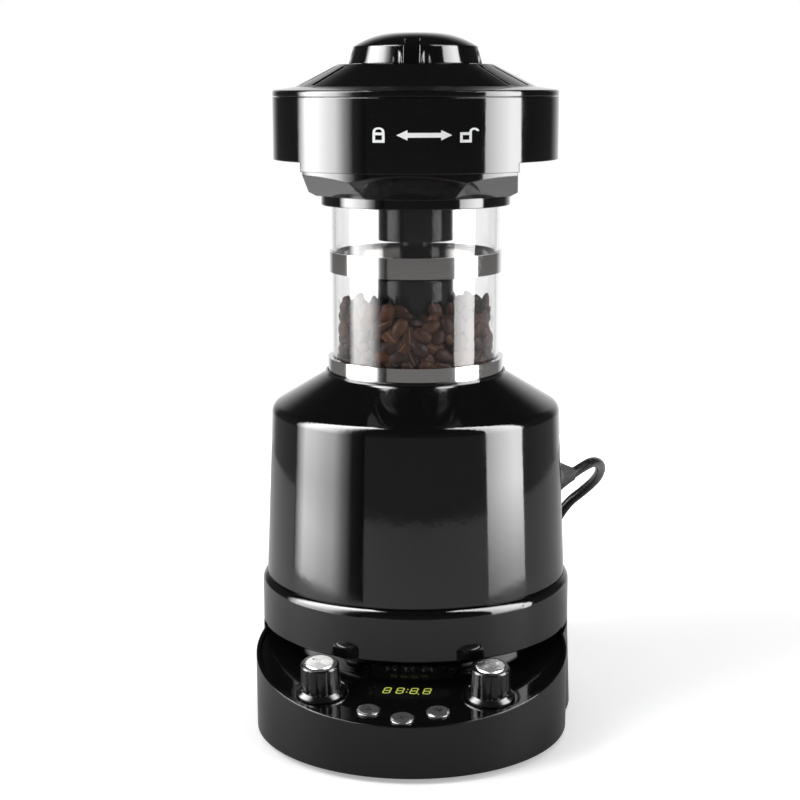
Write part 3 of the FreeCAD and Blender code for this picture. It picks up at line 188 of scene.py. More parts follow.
lacquer = Finish("baked_black_lacquer", (0.006, 0.004, 0.004), 0.12, IOR=1.5)
lacquer.rough(lacquer.spread(lacquer.noise(90, 4), 0.08, 0.18))
lacquer.bump(lacquer.noise(500, 3), 0.00004, 0.3)
dress(lacquer, "collector_tube", "chamber_column", "chamber_post")

# %% [markdown]
# ## Rubber, inner plastics and the seal
# Feet, plug and strain relief are matt rubber with a coarse grain. The parts inside are moulded, and weren't
# polished, so their roughness is high and uneven. The seal on the collector is pale silicone.

# %% Rubber, inner plastics and the seal
rubber = Finish("black_rubber", (0.02, 0.02, 0.02), 0.62, IOR=1.5)
rubber.rough(rubber.spread(rubber.noise(240, 4), 0.5, 0.72))
rubber.bump(rubber.noise(2400, 4), 0.00005, 0.7)
dress(rubber, "foot_back_right", "foot_back_left", "foot_front_right", "foot_front_left", "strain_relief", "plug")

inner_plastic = Finish("moulded_inner_plastic", (0.03, 0.03, 0.032), 0.5, IOR=1.5)
inner_plastic.rough(inner_plastic.spread(inner_plastic.noise(120, 4), 0.42, 0.6))
inner_plastic.bump(inner_plastic.noise(1500, 5), 0.00006, 0.6)
dress(inner_plastic, "base_cover", "switch_up", "switch_power", "switch_down")

white_plastic = Finish("moulded_white_plastic", (0.72, 0.72, 0.7), 0.42, IOR=1.5)
white_plastic.rough(white_plastic.spread(white_plastic.noise(110, 4), 0.34, 0.52))
white_plastic.bump(white_plastic.noise(1300, 4), 0.00004, 0.5)
dress(white_plastic, "blower_housing", "impeller", "display_module")

silicone = Finish("seal_silicone", (0.4, 0.4, 0.39), 0.55, IOR=1.42)
silicone.rough(silicone.spread(silicone.noise(200, 3), 0.48, 0.64))
silicone.bump(silicone.noise(900, 3), 0.00004, 0.4)
dress(silicone, "gasket")

# %% [markdown]
# ## Brushed steel
# The bands on the glass were brushed along their length, so the scratches run round the machine. The noise is
# squeezed in height, which draws it out into level lines, and the shader is anisotropic to blur across them. The
# same recipe, rougher and darker, serves the sheet steel and the zinc-plated parts inside.


# %% Brushed steel
def brushed(name, colour, low, high):
    steel = Finish(name, colour, (low + high) / 2, Metallic=1.0, Anisotropic=0.55)
    lines = steel.noise(60, 5, (1, 1, 160))
    steel.rough(steel.spread(lines, low, high))
    steel.bump(lines, 0.000006, 0.3)
    dull, bright = [c * 0.9 for c in colour], [min(c * 1.05, 1) for c in colour]
    steel.colour(steel.ramp(lines, [(0.3, dull), (0.72, bright)]))
    tangent = steel.tree.nodes.new("ShaderNodeTangent")
    tangent.direction_type = "RADIAL"
    tangent.axis = "Z"
    steel.link(tangent.outputs["Tangent"], steel.shader.inputs["Tangent"])
    return steel


band_steel = brushed("brushed_band_steel", (0.62, 0.6, 0.59), 0.06, 0.11)
dress(band_steel, "chamber_ring", "middle_band")
sheet_steel = brushed("plain_sheet_steel", (0.5, 0.5, 0.5), 0.3, 0.5)
dress(sheet_steel, "air_plate", "plate_seat", "socket_ring", "socket_seat", "heater_duct", "filter_screen",
      "motor_shaft", "fan_shaft", "heat_shaft")
dark_steel = brushed("dark_zinc_steel", (0.2, 0.2, 0.21), 0.32, 0.52)
dress(dark_steel, "blower_motor", "thermostat", "fan_potentiometer", "heat_potentiometer")

# %% [markdown]
# ## Spun aluminium caps
# Each dial has a cap that was turned on a lathe, so it shows a fan of light. The shader is anisotropic round the
# middle of the cap, and a wave of the distance from that middle drives a very shallow bump.


# %% Spun aluminium caps
def spun(name, node):
    """The grooves are centred on one cap, and lie square to its tilted axis."""
    low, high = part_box(node)
    middle = (low + high) / 2
    alloy = Finish(name, (0.55, 0.545, 0.54), 0.26, Metallic=1.0, Anisotropic=0.8)
    coordinates = alloy.tree.nodes.new("ShaderNodeTexCoord")
    mapping = alloy.node("ShaderNodeMapping", Location=-middle)
    turn = alloy.node("ShaderNodeMapping", Rotation=(math.radians(-10), 0, 0))
    alloy.link(coordinates.outputs["Object"], mapping.inputs["Vector"])
    alloy.link(mapping.outputs["Vector"], turn.inputs["Vector"])
    wave = alloy.node("ShaderNodeTexWave", Scale=700, Distortion=0.3, Detail=1)
    wave.wave_type = "RINGS"
    wave.rings_direction = "Z"
    alloy.link(turn.outputs["Vector"], wave.inputs["Vector"])
    alloy.bump(wave.outputs["Fac"], 0.000002, 0.3)
    alloy.rough(alloy.spread(alloy.noise(400, 3), 0.18, 0.28))
    tangent = alloy.tree.nodes.new("ShaderNodeTangent")
    tangent.direction_type = "RADIAL"
    tangent.axis = "Z"
    alloy.link(tangent.outputs["Tangent"], alloy.shader.inputs["Tangent"])
    dress(alloy, node)


spun("spun_fan_cap", "fan_knob_cap")
spun("spun_heat_cap", "heat_knob_cap")

# %% [markdown]
# ## Electrical parts
# The display sits behind a smoked window. Under the console is the green board, and inside the duct is the mica cross
# with its resistance wire. They show in cut-away views only, and still get their real finishes. The keys have a grey
# metallic lacquer.

# %% Electrical parts
smoked = Finish("smoked_window", (0.0026, 0.0026, 0.0026), 0.06, IOR=1.49)
smoked.rough(smoked.spread(smoked.noise(38, 5), 0.04, 0.1))
smoked.bump(smoked.noise(170, 2), 0.00005, 0.3)
dress(smoked, "display_window")

board_green = Finish("board_green", (0.01, 0.11, 0.045), 0.32)
board_green.colour(board_green.ramp(board_green.noise(160, 2), [(0.48, (0.008, 0.1, 0.04)),
                                                                (0.52, (0.014, 0.16, 0.07))]))
dress(board_green, "control_board")

mica = Finish("mica_sheet", (0.55, 0.48, 0.36), 0.3)
mica.colour(mica.ramp(mica.noise(120, 6), [(0.3, (0.42, 0.35, 0.24)), (0.7, (0.66, 0.6, 0.48))]))
mica.rough(mica.spread(mica.noise(60, 4), 0.22, 0.45))
dress(mica, "heater_frame")

heater_wire = Finish("resistance_wire", (0.33, 0.31, 0.3), 0.42, Metallic=1.0)
heater_wire.rough(heater_wire.spread(heater_wire.noise(700, 3), 0.32, 0.55))
dress(heater_wire, "heater_coil")

key_grey = Finish("grey_key_lacquer", (0.3, 0.3, 0.31), 0.14, Metallic=0.8)
key_grey.rough(key_grey.spread(key_grey.noise(500, 3), 0.1, 0.18))
key_grey.bump(key_grey.noise(900, 2), 0.00001, 0.3, 0.0007)
dress(key_grey, "button_up", "button_power", "button_down")

# %% [markdown]
# ## Glass
# The chamber is a borosilicate tube. The CAD solid is right in size, but light bends at every small flat of its
# outline, so the tube is spun again here with more steps and fire-polished rims. A second edge just past each rim
# keeps the long walls truly straight: without it the smoothed normals lean, and the tube works as a lens.


# %% Helpers for shapes
def finished(bm, name, finish, smooth=True):
    """Turn a bmesh into an object at the origin with good normals."""
    bmesh.ops.remove_doubles(bm, verts=bm.verts, dist=1e-6)
    bmesh.ops.recalc_face_normals(bm, faces=bm.faces)
    for face in bm.faces:
        face.smooth = smooth
    mesh = bpy.data.meshes.new(name)
    bm.to_mesh(mesh)
    bm.free()
    made = bpy.data.objects.new(name, mesh)
    bpy.context.scene.collection.objects.link(made)
    if finish is not None:
        mesh.materials.append(finish.material)
    print(name, "faces", len(mesh.polygons))
    return made


def spun_profile(outline, steps, centre=AXIS):
    """Spin a closed outline of (radius, height) about a level ring's axis."""
    bm = bmesh.new()
    rim = [bm.verts.new((centre.x + r, centre.y, z)) for r, z in outline]
    edges = [bm.edges.new((a, b)) for a, b in zip(rim, rim[1:] + rim[:1])]
    bmesh.ops.spin(bm, geom=rim + edges, cent=centre, axis=(0, 0, 1), angle=math.tau, steps=steps, use_merge=True)
    return bm


# %% Glass tube
glass_low, glass_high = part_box("glass_tube")
OUTER_GLASS = (glass_high.x - glass_low.x) / 2
GLASS_WALL = 0.0021
INNER_GLASS = OUTER_GLASS - GLASS_WALL
low, high, lip = glass_low.z, glass_high.z, 0.0006
clear = Finish("clear_borosilicate", (1, 1, 1), 0.0, IOR=1.45)
clear.shader.inputs["Transmission Weight"].default_value = 1.0
clear.shader.inputs["Specular IOR Level"].default_value = 0.12
edge = lip * 1.5
glass_tube = finished(spun_profile([
    (INNER_GLASS, low + edge), (INNER_GLASS, low + lip), (INNER_GLASS + lip, low), (OUTER_GLASS - lip, low),
    (OUTER_GLASS, low + lip), (OUTER_GLASS, low + edge), (OUTER_GLASS, high - edge), (OUTER_GLASS, high - lip),
    (OUTER_GLASS - lip, high), (INNER_GLASS + lip, high), (INNER_GLASS, high - lip), (INNER_GLASS, high - edge)],
    160), "clear_tube", clear)
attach(glass_tube, "chamber")
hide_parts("glass_tube")

# %% [markdown]
# ## Cord
# The lead leaves the housing at the back right, bends forward in a short loop, and falls behind the machine. The
# length that the photograph doesn't show lies in a small coil on the table behind the base. Its line is one NURBS
# curve. A few listed control points draw it softly towards them, and those of the coil's turns are worked out
# as a spiral that winds in on the table, steps up a layer and winds out again.

# %% Cord route
CORD_ROUTE = [
    (0.0916, 0.07495, 0.124), (0.0992, 0.083, 0.1275), (0.1060, 0.095, 0.1278), (0.1112, 0.112, 0.1209),
    (0.1098, 0.130, 0.1091), (0.1014, 0.144, 0.097), (0.0900, 0.150, 0.0863), (0.0760, 0.151, 0.060),
    (0.0600, 0.143, 0.034), (0.0430, 0.132, 0.0135), (0.0230, 0.124, 0.0034), (0.0, 0.12275, 0.0034),
]
COIL_CENTRE = (0.0, 0.16275)
COIL_RADIUS, COIL_STEP, LAYER_RISE = 0.040, 0.007, 0.0069
TURNS_IN, LAYER_CHANGE, FLOOR_HEIGHT = 1.25, 0.5, 0.0034
TAIL = 0.032
CORD_DIAMETER, CORD_LENGTH = 0.0064, 0.918
print("route points", len(CORD_ROUTE))


# %% Cord coil
def coil_point(turn):
    """In on the table, up a layer, and out again."""
    inner = COIL_RADIUS - COIL_STEP * TURNS_IN
    if turn <= TURNS_IN:
        radius, rise = COIL_RADIUS - COIL_STEP * turn, 0.0
    elif turn <= TURNS_IN + LAYER_CHANGE:
        share = (turn - TURNS_IN) / LAYER_CHANGE
        radius = inner - COIL_STEP * LAYER_CHANGE * 0.25 * math.sin(math.pi * share)
        rise = LAYER_RISE * (1 - math.cos(math.pi * share)) / 2
    else:
        radius, rise = inner + COIL_STEP * (turn - TURNS_IN - LAYER_CHANGE), LAYER_RISE
    angle = math.radians(-90) - turn * math.tau
    return (COIL_CENTRE[0] + radius * math.cos(angle), COIL_CENTRE[1] + radius * math.sin(angle), FLOOR_HEIGHT + rise)


coil_turns = TURNS_IN * 2 + LAYER_CHANGE
POINTS_PER_TURN = 16
coil = [coil_point(n / POINTS_PER_TURN) for n in range(1, int(coil_turns * POINTS_PER_TURN) + 1)]
tail = (coil[-1][0] - TAIL, coil[-1][1], coil[-1][2])
line = CORD_ROUTE + coil + [tail]
print("cord points", len(line))

# %% Cord curve
curve = bpy.data.curves.new("mains_cord", "CURVE")
curve.dimensions = "3D"
curve.bevel_depth = CORD_DIAMETER / 2
curve.bevel_resolution = 6
curve.use_fill_caps = True
spline = curve.splines.new("NURBS")
spline.points.add(len(line) - 1)
for point, place in zip(spline.points, line):
    point.co = (*place, 1)
spline.order_u = 3
spline.use_endpoint_u = True
spline.resolution_u = 6
cord = bpy.data.objects.new("mains_cord", curve)
bpy.context.scene.collection.objects.link(cord)
cord_sleeve = Finish("cord_sleeve", (0.012, 0.012, 0.013), 0.32, IOR=1.5)
cord_sleeve.rough(cord_sleeve.spread(cord_sleeve.noise(260, 4), 0.2, 0.32))
cord_sleeve.bump(cord_sleeve.noise(1500, 3), 0.00004, 0.5)
curve.materials.append(cord_sleeve.material)
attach(cord, "base")
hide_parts("cord", "cord_coil", "cord_tail")
print("cord of", CORD_LENGTH, "m")

# %% [markdown]
# ## Coffee beans
# A roasted bean is a flattened oval with one flat side and a crease along it. One bean of a few dozen faces is shaped
# here from a small sphere. How near a corner is to the crease is kept as an attribute, for the colour of the skin.


# %% One bean
BEAN_HALF = Vector((0.0060, 0.0042, 0.0032))


def bean_shape():
    bm = bmesh.new()
    bmesh.ops.create_uvsphere(bm, u_segments=12, v_segments=7, radius=1.0)
    bmesh.ops.rotate(bm, verts=bm.verts, cent=(0, 0, 0), matrix=Matrix.Rotation(math.radians(90), 3, "Y"))
    tone = bm.verts.layers.float.new("crease")
    for vert in bm.verts:
        x, y, z = vert.co
        flat = z < 0
        crease = max(0, 1 - abs(y) / 0.3) if flat else 0
        z = z * (0.42 if flat else 1.0) + crease * 0.24 * (1 - x * x)
        vert[tone] = crease
        vert.co = (x * BEAN_HALF.x, y * BEAN_HALF.y * (1 - 0.12 * x), z * BEAN_HALF.z)
    bm.normal_update()
    return bm


# %% [markdown]
# ## The heap
# The beans lie between the glass and the column. Three rings of places in nine layers fill that space up to a wavy
# top, and a push apart, repeated a few times, keeps neighbours from sinking into each other.

# %% Places for the beans
bean_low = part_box("air_plate")[1].z + 0.0002
column_radius = (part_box("chamber_column")[1].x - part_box("chamber_column")[0].x) / 2
LAYERS, LAYER = 9, 0.0058
RINGS = [(INNER_GLASS - 0.0043, 29), (INNER_GLASS - 0.0118, 23), (column_radius + 0.0045, 16)]
spots = []
for level in range(LAYERS):
    for ring, (radius, count) in enumerate(RINGS):
        start = random.uniform(0, math.tau)
        for n in range(count):
            angle = start + math.tau * n / count + random.uniform(-0.05, 0.05)
            heap = 0.0495 + 0.004 * math.sin(angle * 2 + 0.6) + 0.003 * math.sin(angle * 5) + 0.0015 * ring
            z = 0.0034 + level * LAYER + random.uniform(-0.0014, 0.0014)
            if z < heap:
                spots.append([radius * math.cos(angle), radius * math.sin(angle), z, ring])
SPACING, PUSHES = 0.0068, 25
for _ in range(PUSHES):
    for i, a in enumerate(spots):
        for b in spots[i + 1:]:
            dx, dy, dz = b[0] - a[0], b[1] - a[1], b[2] - a[2]
            gap = dx * dx + dy * dy + dz * dz
            if 1e-12 < gap < SPACING ** 2:
                push = (SPACING / math.sqrt(gap) - 1) * 0.25
                for k, step in enumerate((dx, dy, dz)):
                    a[k] -= step * push
                    b[k] += step * push
    for spot in spots:
        away = math.hypot(spot[0], spot[1])
        held = min(max(away, column_radius + 0.0036), INNER_GLASS - 0.0038)
        spot[0] *= held / away
        spot[1] *= held / away
        spot[2] = max(spot[2], 0.0030)
print("places", len(spots))

# %% Set the beans down
template = bean_shape()
beans = bmesh.new()
beans.verts.layers.float.new("crease")
shade_layer = beans.verts.layers.float.new("roast")
template_mesh = bpy.data.meshes.new("bean_template")
template.to_mesh(template_mesh)
corners = [v.co.copy() for v in template.verts]
template.free()
for x, y, z, ring in spots:
    outward = math.atan2(y, x)
    face_out = random.random() < 0.5
    turn = (
        Matrix.Rotation(outward, 3, "Z")
        @ Matrix.Rotation(math.radians(90 if face_out else -90) + random.uniform(-0.45, 0.45), 3, "Y")
        @ Matrix.Rotation(random.uniform(0, math.tau), 3, "Z")
    )
    if ring == 1:
        turn = Matrix.Rotation(random.uniform(0, math.tau), 3, (random.random(), random.random(), 1)) @ turn
    turn = turn * random.uniform(0.88, 1.06)
    centre = Vector((x, y, z))
    reach = max(math.hypot(*(centre + turn @ c).xy) for c in corners)
    if reach > INNER_GLASS - 0.0003:
        centre.xy *= 1 - (reach - INNER_GLASS + 0.0003) / math.hypot(x, y)
    near = min(math.hypot(*(centre + turn @ c).xy) for c in corners)
    if near < column_radius + 0.0002:
        continue
    low = min((centre + turn @ c).z for c in corners)
    centre.z += max(0, 0.0002 - low)
    before = len(beans.verts)
    beans.from_mesh(template_mesh)
    beans.verts.ensure_lookup_table()
    fresh = beans.verts[before:]
    shade = random.random()
    for vert in fresh:
        vert[shade_layer] = shade
    place = Matrix.Translation(centre + Vector((0, AXIS_Y, bean_low))) @ turn.to_4x4()
    bmesh.ops.transform(beans, matrix=place, verts=fresh)
print("bean corners", len(beans.verts))

# %% [markdown]
# ## Bean skin
# Roasted skin is a dark, slightly oily brown that differs from bean to bean, with the pale chaff left in the crease.
# A value for each bean shifts the whole ramp, a noise mottles it, and the crease attribute mixes in the chaff.

# %% Bean skin
bean_skin = Finish("roasted_bean_skin", (0.1, 0.035, 0.015), 0.34, IOR=1.48)
crease = bean_skin.tree.nodes.new("ShaderNodeAttribute")
crease.attribute_name = "crease"
roast = bean_skin.tree.nodes.new("ShaderNodeAttribute")
roast.attribute_name = "roast"
mottle = bean_skin.node("ShaderNodeMath")
mottle.operation = "MULTIPLY_ADD"
mottle.inputs[1].default_value = 0.45
bean_skin.link(bean_skin.noise(420, 5), mottle.inputs[0])
part = bean_skin.node("ShaderNodeMath")
part.operation = "MULTIPLY"
part.inputs[1].default_value = 0.6
bean_skin.link(roast.outputs["Fac"], part.inputs[0])
bean_skin.link(part.outputs[0], mottle.inputs[2])
tone = bean_skin.ramp(mottle.outputs[0], [(0.1, (0.028, 0.008, 0.0035)), (0.5, (0.085, 0.026, 0.010)),
                                          (0.9, (0.2, 0.066, 0.024))])
mix = bean_skin.tree.nodes.new("ShaderNodeMixRGB")
mix.inputs["Color2"].default_value = (0.36, 0.2, 0.095, 1)
bean_skin.link(bean_skin.spread(crease.outputs["Fac"], 0, 0.8, 0.7, 0.97), mix.inputs["Fac"])
bean_skin.link(tone, mix.inputs["Color1"])
bean_skin.colour(mix.outputs["Color"])
bean_skin.rough(bean_skin.spread(bean_skin.noise(900, 4), 0.3, 0.5))
bean_skin.bump(bean_skin.noise(1100, 5), 0.0003, 0.8)
bean_heap = finished(beans, "coffee_beans", bean_skin)
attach(bean_heap, "chamber")
print("beans", len(spots))

# %% [markdown]
# ## Printed marks on the drum
# A closed padlock, a double arrow and an open padlock show which way the cover turns. They are pad printed in white.
# Each is drawn flat and then wrapped on to the drum, a twentieth of a millimetre proud.


# %% Printed marks
def bar(bm, left, right, low, high, cuts=6):
    """A flat rectangle with cuts along its length, so that it can bend."""
    made = bmesh.ops.create_grid(bm, x_segments=cuts, y_segments=1, size=0.5)["verts"]
    bmesh.ops.scale(bm, verts=made, vec=(right - left, high - low, 1))
    bmesh.ops.translate(bm, verts=made, vec=((left + right) / 2, (low + high) / 2, 0))
    return made


def arch(bm, centre, radius, stroke, start, end, cuts=14):
    """Part of a flat ring between two angles in degrees."""
    (x, y), a = centre, math.radians(start)
    ends = [bm.verts.new((x + reach * math.cos(a), y + reach * math.sin(a), 0))
            for reach in (radius - stroke / 2, radius + stroke / 2)]
    edge = bm.edges.new(ends)
    bmesh.ops.spin(bm, geom=[*ends, edge], cent=(x, y, 0), axis=(0, 0, 1),
                   angle=math.radians(end - start), steps=cuts, use_merge=False)


def padlock(bm, middle, opened):
    """Body 6.4 by 5.2 mm with a window, and a shackle that stands on both legs or swings off to the right."""
    w, h, s = 0.0032, 0.0026, 0.0014
    x, y = middle
    bar(bm, x - w, x + w, y + h - s, y + h)
    bar(bm, x - w, x + w, y - h, y - h + s)
    bar(bm, x - w, x - w + s, y - h + s, y + h - s, 1)
    bar(bm, x + w - s, x + w, y - h + s, y + h - s, 1)
    top = y + h
    if opened:
        arch(bm, (x + w - s / 2 + 0.0021, top + 0.0004), 0.0021, s, 180, 10)
        bar(bm, x + w - s, x + w, top, top + 0.0004, 1)
    else:
        r = w - s / 2 - 0.0001
        arch(bm, (x, top + 0.0006), r, s, 180, 0)
        bar(bm, x - r - s / 2, x - r + s / 2, top, top + 0.0006, 1)
        bar(bm, x + r - s / 2, x + r + s / 2, top, top + 0.0006, 1)
    shackle = [v for v in bm.verts if v.co.y > top + 1e-6 and abs(v.co.x - x) < 0.008]
    bmesh.ops.scale(bm, verts=shackle, vec=(1, 0.7, 1), space=Matrix.Translation((0, -top, 0)))


def double_arrow(bm, middle, length):
    x, y = middle
    head, half, thin = 0.0058, 0.0026, 0.0012
    bar(bm, x - length / 2 + head, x + length / 2 - head, y - thin, y + thin, 12)
    for side in (-1, 1):
        tip = bm.verts.new((x + side * length / 2, y, 0))
        top = bm.verts.new((x + side * (length / 2 - head), y + half, 0))
        low = bm.verts.new((x + side * (length / 2 - head), y - half, 0))
        bm.faces.new((tip, top, low))


# %% Wrap the marks on the drum
def wrap(bm, radius, turn, height):
    """Bend a flat drawing round the machine's axis; turn is in radians from the front, to the right."""
    for vert in bm.verts:
        u, v, w = vert.co
        angle = turn + u / radius
        vert.co = ((radius + w) * math.sin(angle), AXIS_Y - (radius + w) * math.cos(angle), height + v)


print_white = Finish("printed_white", (0.83, 0.84, 0.84), 0.42)
print_white.rough(print_white.spread(print_white.noise(900, 3), 0.35, 0.5))
print_white.bump(print_white.noise(2200, 3), 0.00002, 0.4)
drum_low, drum_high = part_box("collector_drum")
DRUM_RADIUS = (drum_high.x - drum_low.x) / 2
MARKS_TURN, MARKS_DROP, PRINT_RISE = math.radians(6.6), 0.0190, 0.00005
marks = bmesh.new()
padlock(marks, (-0.0234, -0.0011), False)
double_arrow(marks, (0.0002, 0.0001), 0.0288)
padlock(marks, (0.0220, -0.0011), True)
bmesh.ops.recalc_face_normals(marks, faces=marks.faces)
wrap(marks, DRUM_RADIUS + PRINT_RISE, MARKS_TURN, drum_high.z - MARKS_DROP)
lock_marks = finished(marks, "lock_marks", print_white)
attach(lock_marks, "collector")

# %% [markdown]
# ## Digits and key symbols
# The display has four slanted seven-segment digits with a colon and a point, all lit yellow-green. The keys carry an
# up arrow, a power sign and a down arrow. All are drawn flat and laid on the sloping console.


# %% Console frame
TILT = math.radians(10)
CONSOLE_FRONT, CONSOLE_EDGE, PANEL_SINK = 0.1255, 0.0311, 0.0012
FACE_FRONT = Vector((0, AXIS_Y - CONSOLE_FRONT, CONSOLE_EDGE - PANEL_SINK))
print("the panel's front edge is at", [round(v, 4) for v in FACE_FRONT])


def on_console(x, back, rise):
    """A place on the sloping face: x across, back up the slope, rise off it."""
    return FACE_FRONT + Vector((x, back * math.cos(TILT) - rise * math.sin(TILT),
                                back * math.sin(TILT) + rise * math.cos(TILT)))


def lay(bm, x, back, rise):
    """Put a flat drawing on the console; its up is up the slope."""
    bmesh.ops.rotate(bm, verts=bm.verts, cent=(0, 0, 0), matrix=Matrix.Rotation(TILT, 3, "X"))
    bmesh.ops.translate(bm, verts=bm.verts, vec=on_console(x, back, rise))


# %% Lit digits
def segment(bm, start, end, half):
    """A bar with pointed ends."""
    (x1, y1), (x2, y2) = start, end
    along = Vector((x2 - x1, y2 - y1)).normalized()
    aside = Vector((-along.y, along.x)) * half
    a, b = Vector(start), Vector(end)
    near, far = a + along * half, b - along * half
    ring = [a, near + aside, far + aside, b, far - aside, near - aside]
    bm.faces.new([bm.verts.new((p.x, p.y, 0)) for p in ring])


def digit(bm, x, width, height, half):
    h = height / 2
    gap = half * 0.35
    for y in (-h, 0, h):
        segment(bm, (x - width / 2 + gap, y), (x + width / 2 - gap, y), half)
    for side in (-1, 1):
        for y in (-h, 0):
            segment(bm, (x + side * width / 2, y + gap), (x + side * width / 2, y + h - gap), half)


led = Finish("lit_segment", (0.25, 0.3, 0.03), 0.4)
led.shader.inputs["Emission Color"].default_value = (0.46, 0.48, 0.11, 1)
led.shader.inputs["Emission Strength"].default_value = 0.75
DIGIT_WIDTH, DIGIT_HEIGHT, SEGMENT_HALF, SLANT = 0.0035, 0.0055, 0.00034, 0.18
figures = bmesh.new()
for x in (-0.0107, -0.0037, 0.0038, 0.0108):
    digit(figures, x, DIGIT_WIDTH, DIGIT_HEIGHT, SEGMENT_HALF)
for x, y in ((0.0001, 0.0014), (0.0001, -0.0014), (0.0068, -0.0031)):
    dot = bmesh.ops.create_circle(figures, cap_ends=True, segments=12, radius=0.00045)["verts"]
    bmesh.ops.translate(figures, verts=dot, vec=(x, y, 0))
for vert in figures.verts:
    vert.co.x += vert.co.y * SLANT
lay(figures, 0.0007, 0.0393, 0.00004)
lit_digits = finished(figures, "lit_digits", led, smooth=False)
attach(lit_digits, "base")

# %% Key symbols
key_ink = Finish("key_ink", (0.02, 0.02, 0.02), 0.4)
key_ink.rough(key_ink.spread(key_ink.noise(800, 3), 0.34, 0.5))
KEYS = {"up": (-0.0184, 0.0178), "power": (0, 0.0104), "down": (0.0184, 0.0178)}
KEY_RISE = 0.00226
for key, (x, back) in KEYS.items():
    bm = bmesh.new()
    if key == "power":
        arch(bm, (0, -0.0001), 0.0017, 0.0005, 125, 415, 20)
        bar(bm, -0.00025, 0.00025, 0.0004, 0.0025, 1)
    else:
        side = 1 if key == "up" else -1
        corners = (-0.002, -0.0012 * side, 0), (0.002, -0.0012 * side, 0), (0, 0.0018 * side, 0)
        bm.faces.new([bm.verts.new(p) for p in corners])
    lay(bm, x, back, KEY_RISE)
    symbol = finished(bm, key + "_mark", key_ink, smooth=False)
    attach(symbol, key + "_key")

# %% [markdown]
# ## Pointer marks
# A dial needs a mark to read it by. Each cap has a short engraved line at its edge, filled with dark paint, that turns
# with the dial. The line is drawn flat at the front edge, turned about the cap's middle, and laid on the cap.

# %% Pointer marks
for dial in ("fan", "heat"):
    cap_low, cap_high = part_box(dial + "_knob_cap")
    middle = (cap_low + cap_high) / 2
    cap_radius = (cap_high.x - cap_low.x) / 2
    half_thick = ((cap_high.z - cap_low.z) / 2 - cap_radius * math.sin(TILT)) / math.cos(TILT)
    bm = bmesh.new()
    bar(bm, -0.0005, 0.0005, cap_radius * 0.52, cap_radius * 0.92, 1)
    bmesh.ops.rotate(bm, verts=bm.verts, cent=(0, 0, 0), matrix=Matrix.Rotation(math.radians(50), 3, "Z"))
    bmesh.ops.rotate(bm, verts=bm.verts, cent=(0, 0, 0), matrix=Matrix.Rotation(TILT, 3, "X"))
    lift = half_thick + 0.00004
    bmesh.ops.translate(bm, verts=bm.verts, vec=middle + Vector((0, -math.sin(TILT) * lift, math.cos(TILT) * lift)))
    pointer = finished(bm, dial + "_pointer", key_ink, smooth=False)
    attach(pointer, dial + "_dial")
    print(dial, "cap radius", round(cap_radius, 4), "half thickness", round(half_thick, 5))

# %% [markdown]
# ## Studio
# The photograph has a white surround, and black gloss shows whatever stands round it. So each ray is told apart by
# what it has met: one straight from the camera sees white, one that has bounced off gloss sees a dark room with two
# soft boxes, and one that has bounced off a matt surface sees a plain grey level. Light Path gives those counts. The
# object itself isn't over-lit in this way. A small class does the sums.


# %% Helpers for the studio
class StudioTree:
    """The nodes of a studio material or world, with short ways to do sums on what Light Path gives."""

    def __init__(self, owner):
        owner.use_nodes = True
        self.nodes, self.links = owner.node_tree.nodes, owner.node_tree.links
        self.path = self.nodes.new("ShaderNodeLightPath").outputs

    def mapped(self, value, from_low, from_high, to_low, to_high, smooth=True):
        node = self.nodes.new("ShaderNodeMapRange")
        node.interpolation_type = "SMOOTHSTEP" if smooth else "LINEAR"
        for name, number in (("From Min", from_low), ("From Max", from_high), ("To Min", to_low), ("To Max", to_high)):
            node.inputs[name].default_value = number
        self.links.new(value, node.inputs["Value"])
        return node.outputs["Result"]

    def combined(self, operation, a, b):
        """A sum of two values, each a socket or a number."""
        node = self.nodes.new("ShaderNodeMath")
        node.operation = operation
        for socket, value in zip(node.inputs, (a, b)):
            if isinstance(value, (int, float)):
                socket.default_value = value
            else:
                self.links.new(value, socket)
        return node.outputs[0]

    def straight(self):
        """1 for a ray that has met neither gloss nor a matt surface."""
        bounces = self.combined("ADD", self.path["Diffuse Depth"], self.path["Glossy Depth"])
        return self.combined("LESS_THAN", bounces, 0.5)

    def emission(self, strength):
        glow = self.nodes.new("ShaderNodeEmission")
        glow.inputs["Color"].default_value = (1, 1, 1, 1)
        if isinstance(strength, float):
            glow.inputs["Strength"].default_value = strength
        else:
            self.links.new(strength, glow.inputs["Strength"])
        return glow.outputs[0]


# %% [markdown]
# ## Table
# The table is pale and takes the object's shadow. Near the object its own colour shows, and further out a glow that
# only straight rays see lifts it to the white of the surround. In the gloss it looks darker close by, as in the
# photograph, where the housing's foot reflects a shaded table.

# %% Table
TABLE_RADIUS, TABLE_DROP = 0.8, 0.0003
table_finish = bpy.data.materials.new("pale_table")
tree = StudioTree(table_finish)
shader = tree.nodes["Principled BSDF"]
shader.inputs["Base Color"].default_value = (0.8, 0.8, 0.81, 1)
shader.inputs["Roughness"].default_value = 0.6
shader.inputs["Specular IOR Level"].default_value = 0.2
place = tree.nodes.new("ShaderNodeTexCoord")
distance = tree.nodes.new("ShaderNodeVectorMath")
distance.operation = "LENGTH"
tree.links.new(place.outputs["Object"], distance.inputs[0])
away = distance.outputs["Value"]
white = tree.combined("MULTIPLY", tree.mapped(away, 0.3, 0.75, 0.36, 1.0), tree.straight())
lit = tree.nodes.new("ShaderNodeAddShader")
tree.links.new(shader.outputs[0], lit.inputs[0])
tree.links.new(tree.emission(white), lit.inputs[1])
# Painted shade: rays off gloss see the table mixed towards black, most strongly close to the machine and only a little
# further out.
shaded = tree.mapped(away, 0.12, 0.4, 0.55, 0.1, smooth=False)
surface = tree.nodes.new("ShaderNodeMixShader")
tree.links.new(tree.combined("MULTIPLY", shaded, tree.path["Is Glossy Ray"]), surface.inputs["Fac"])
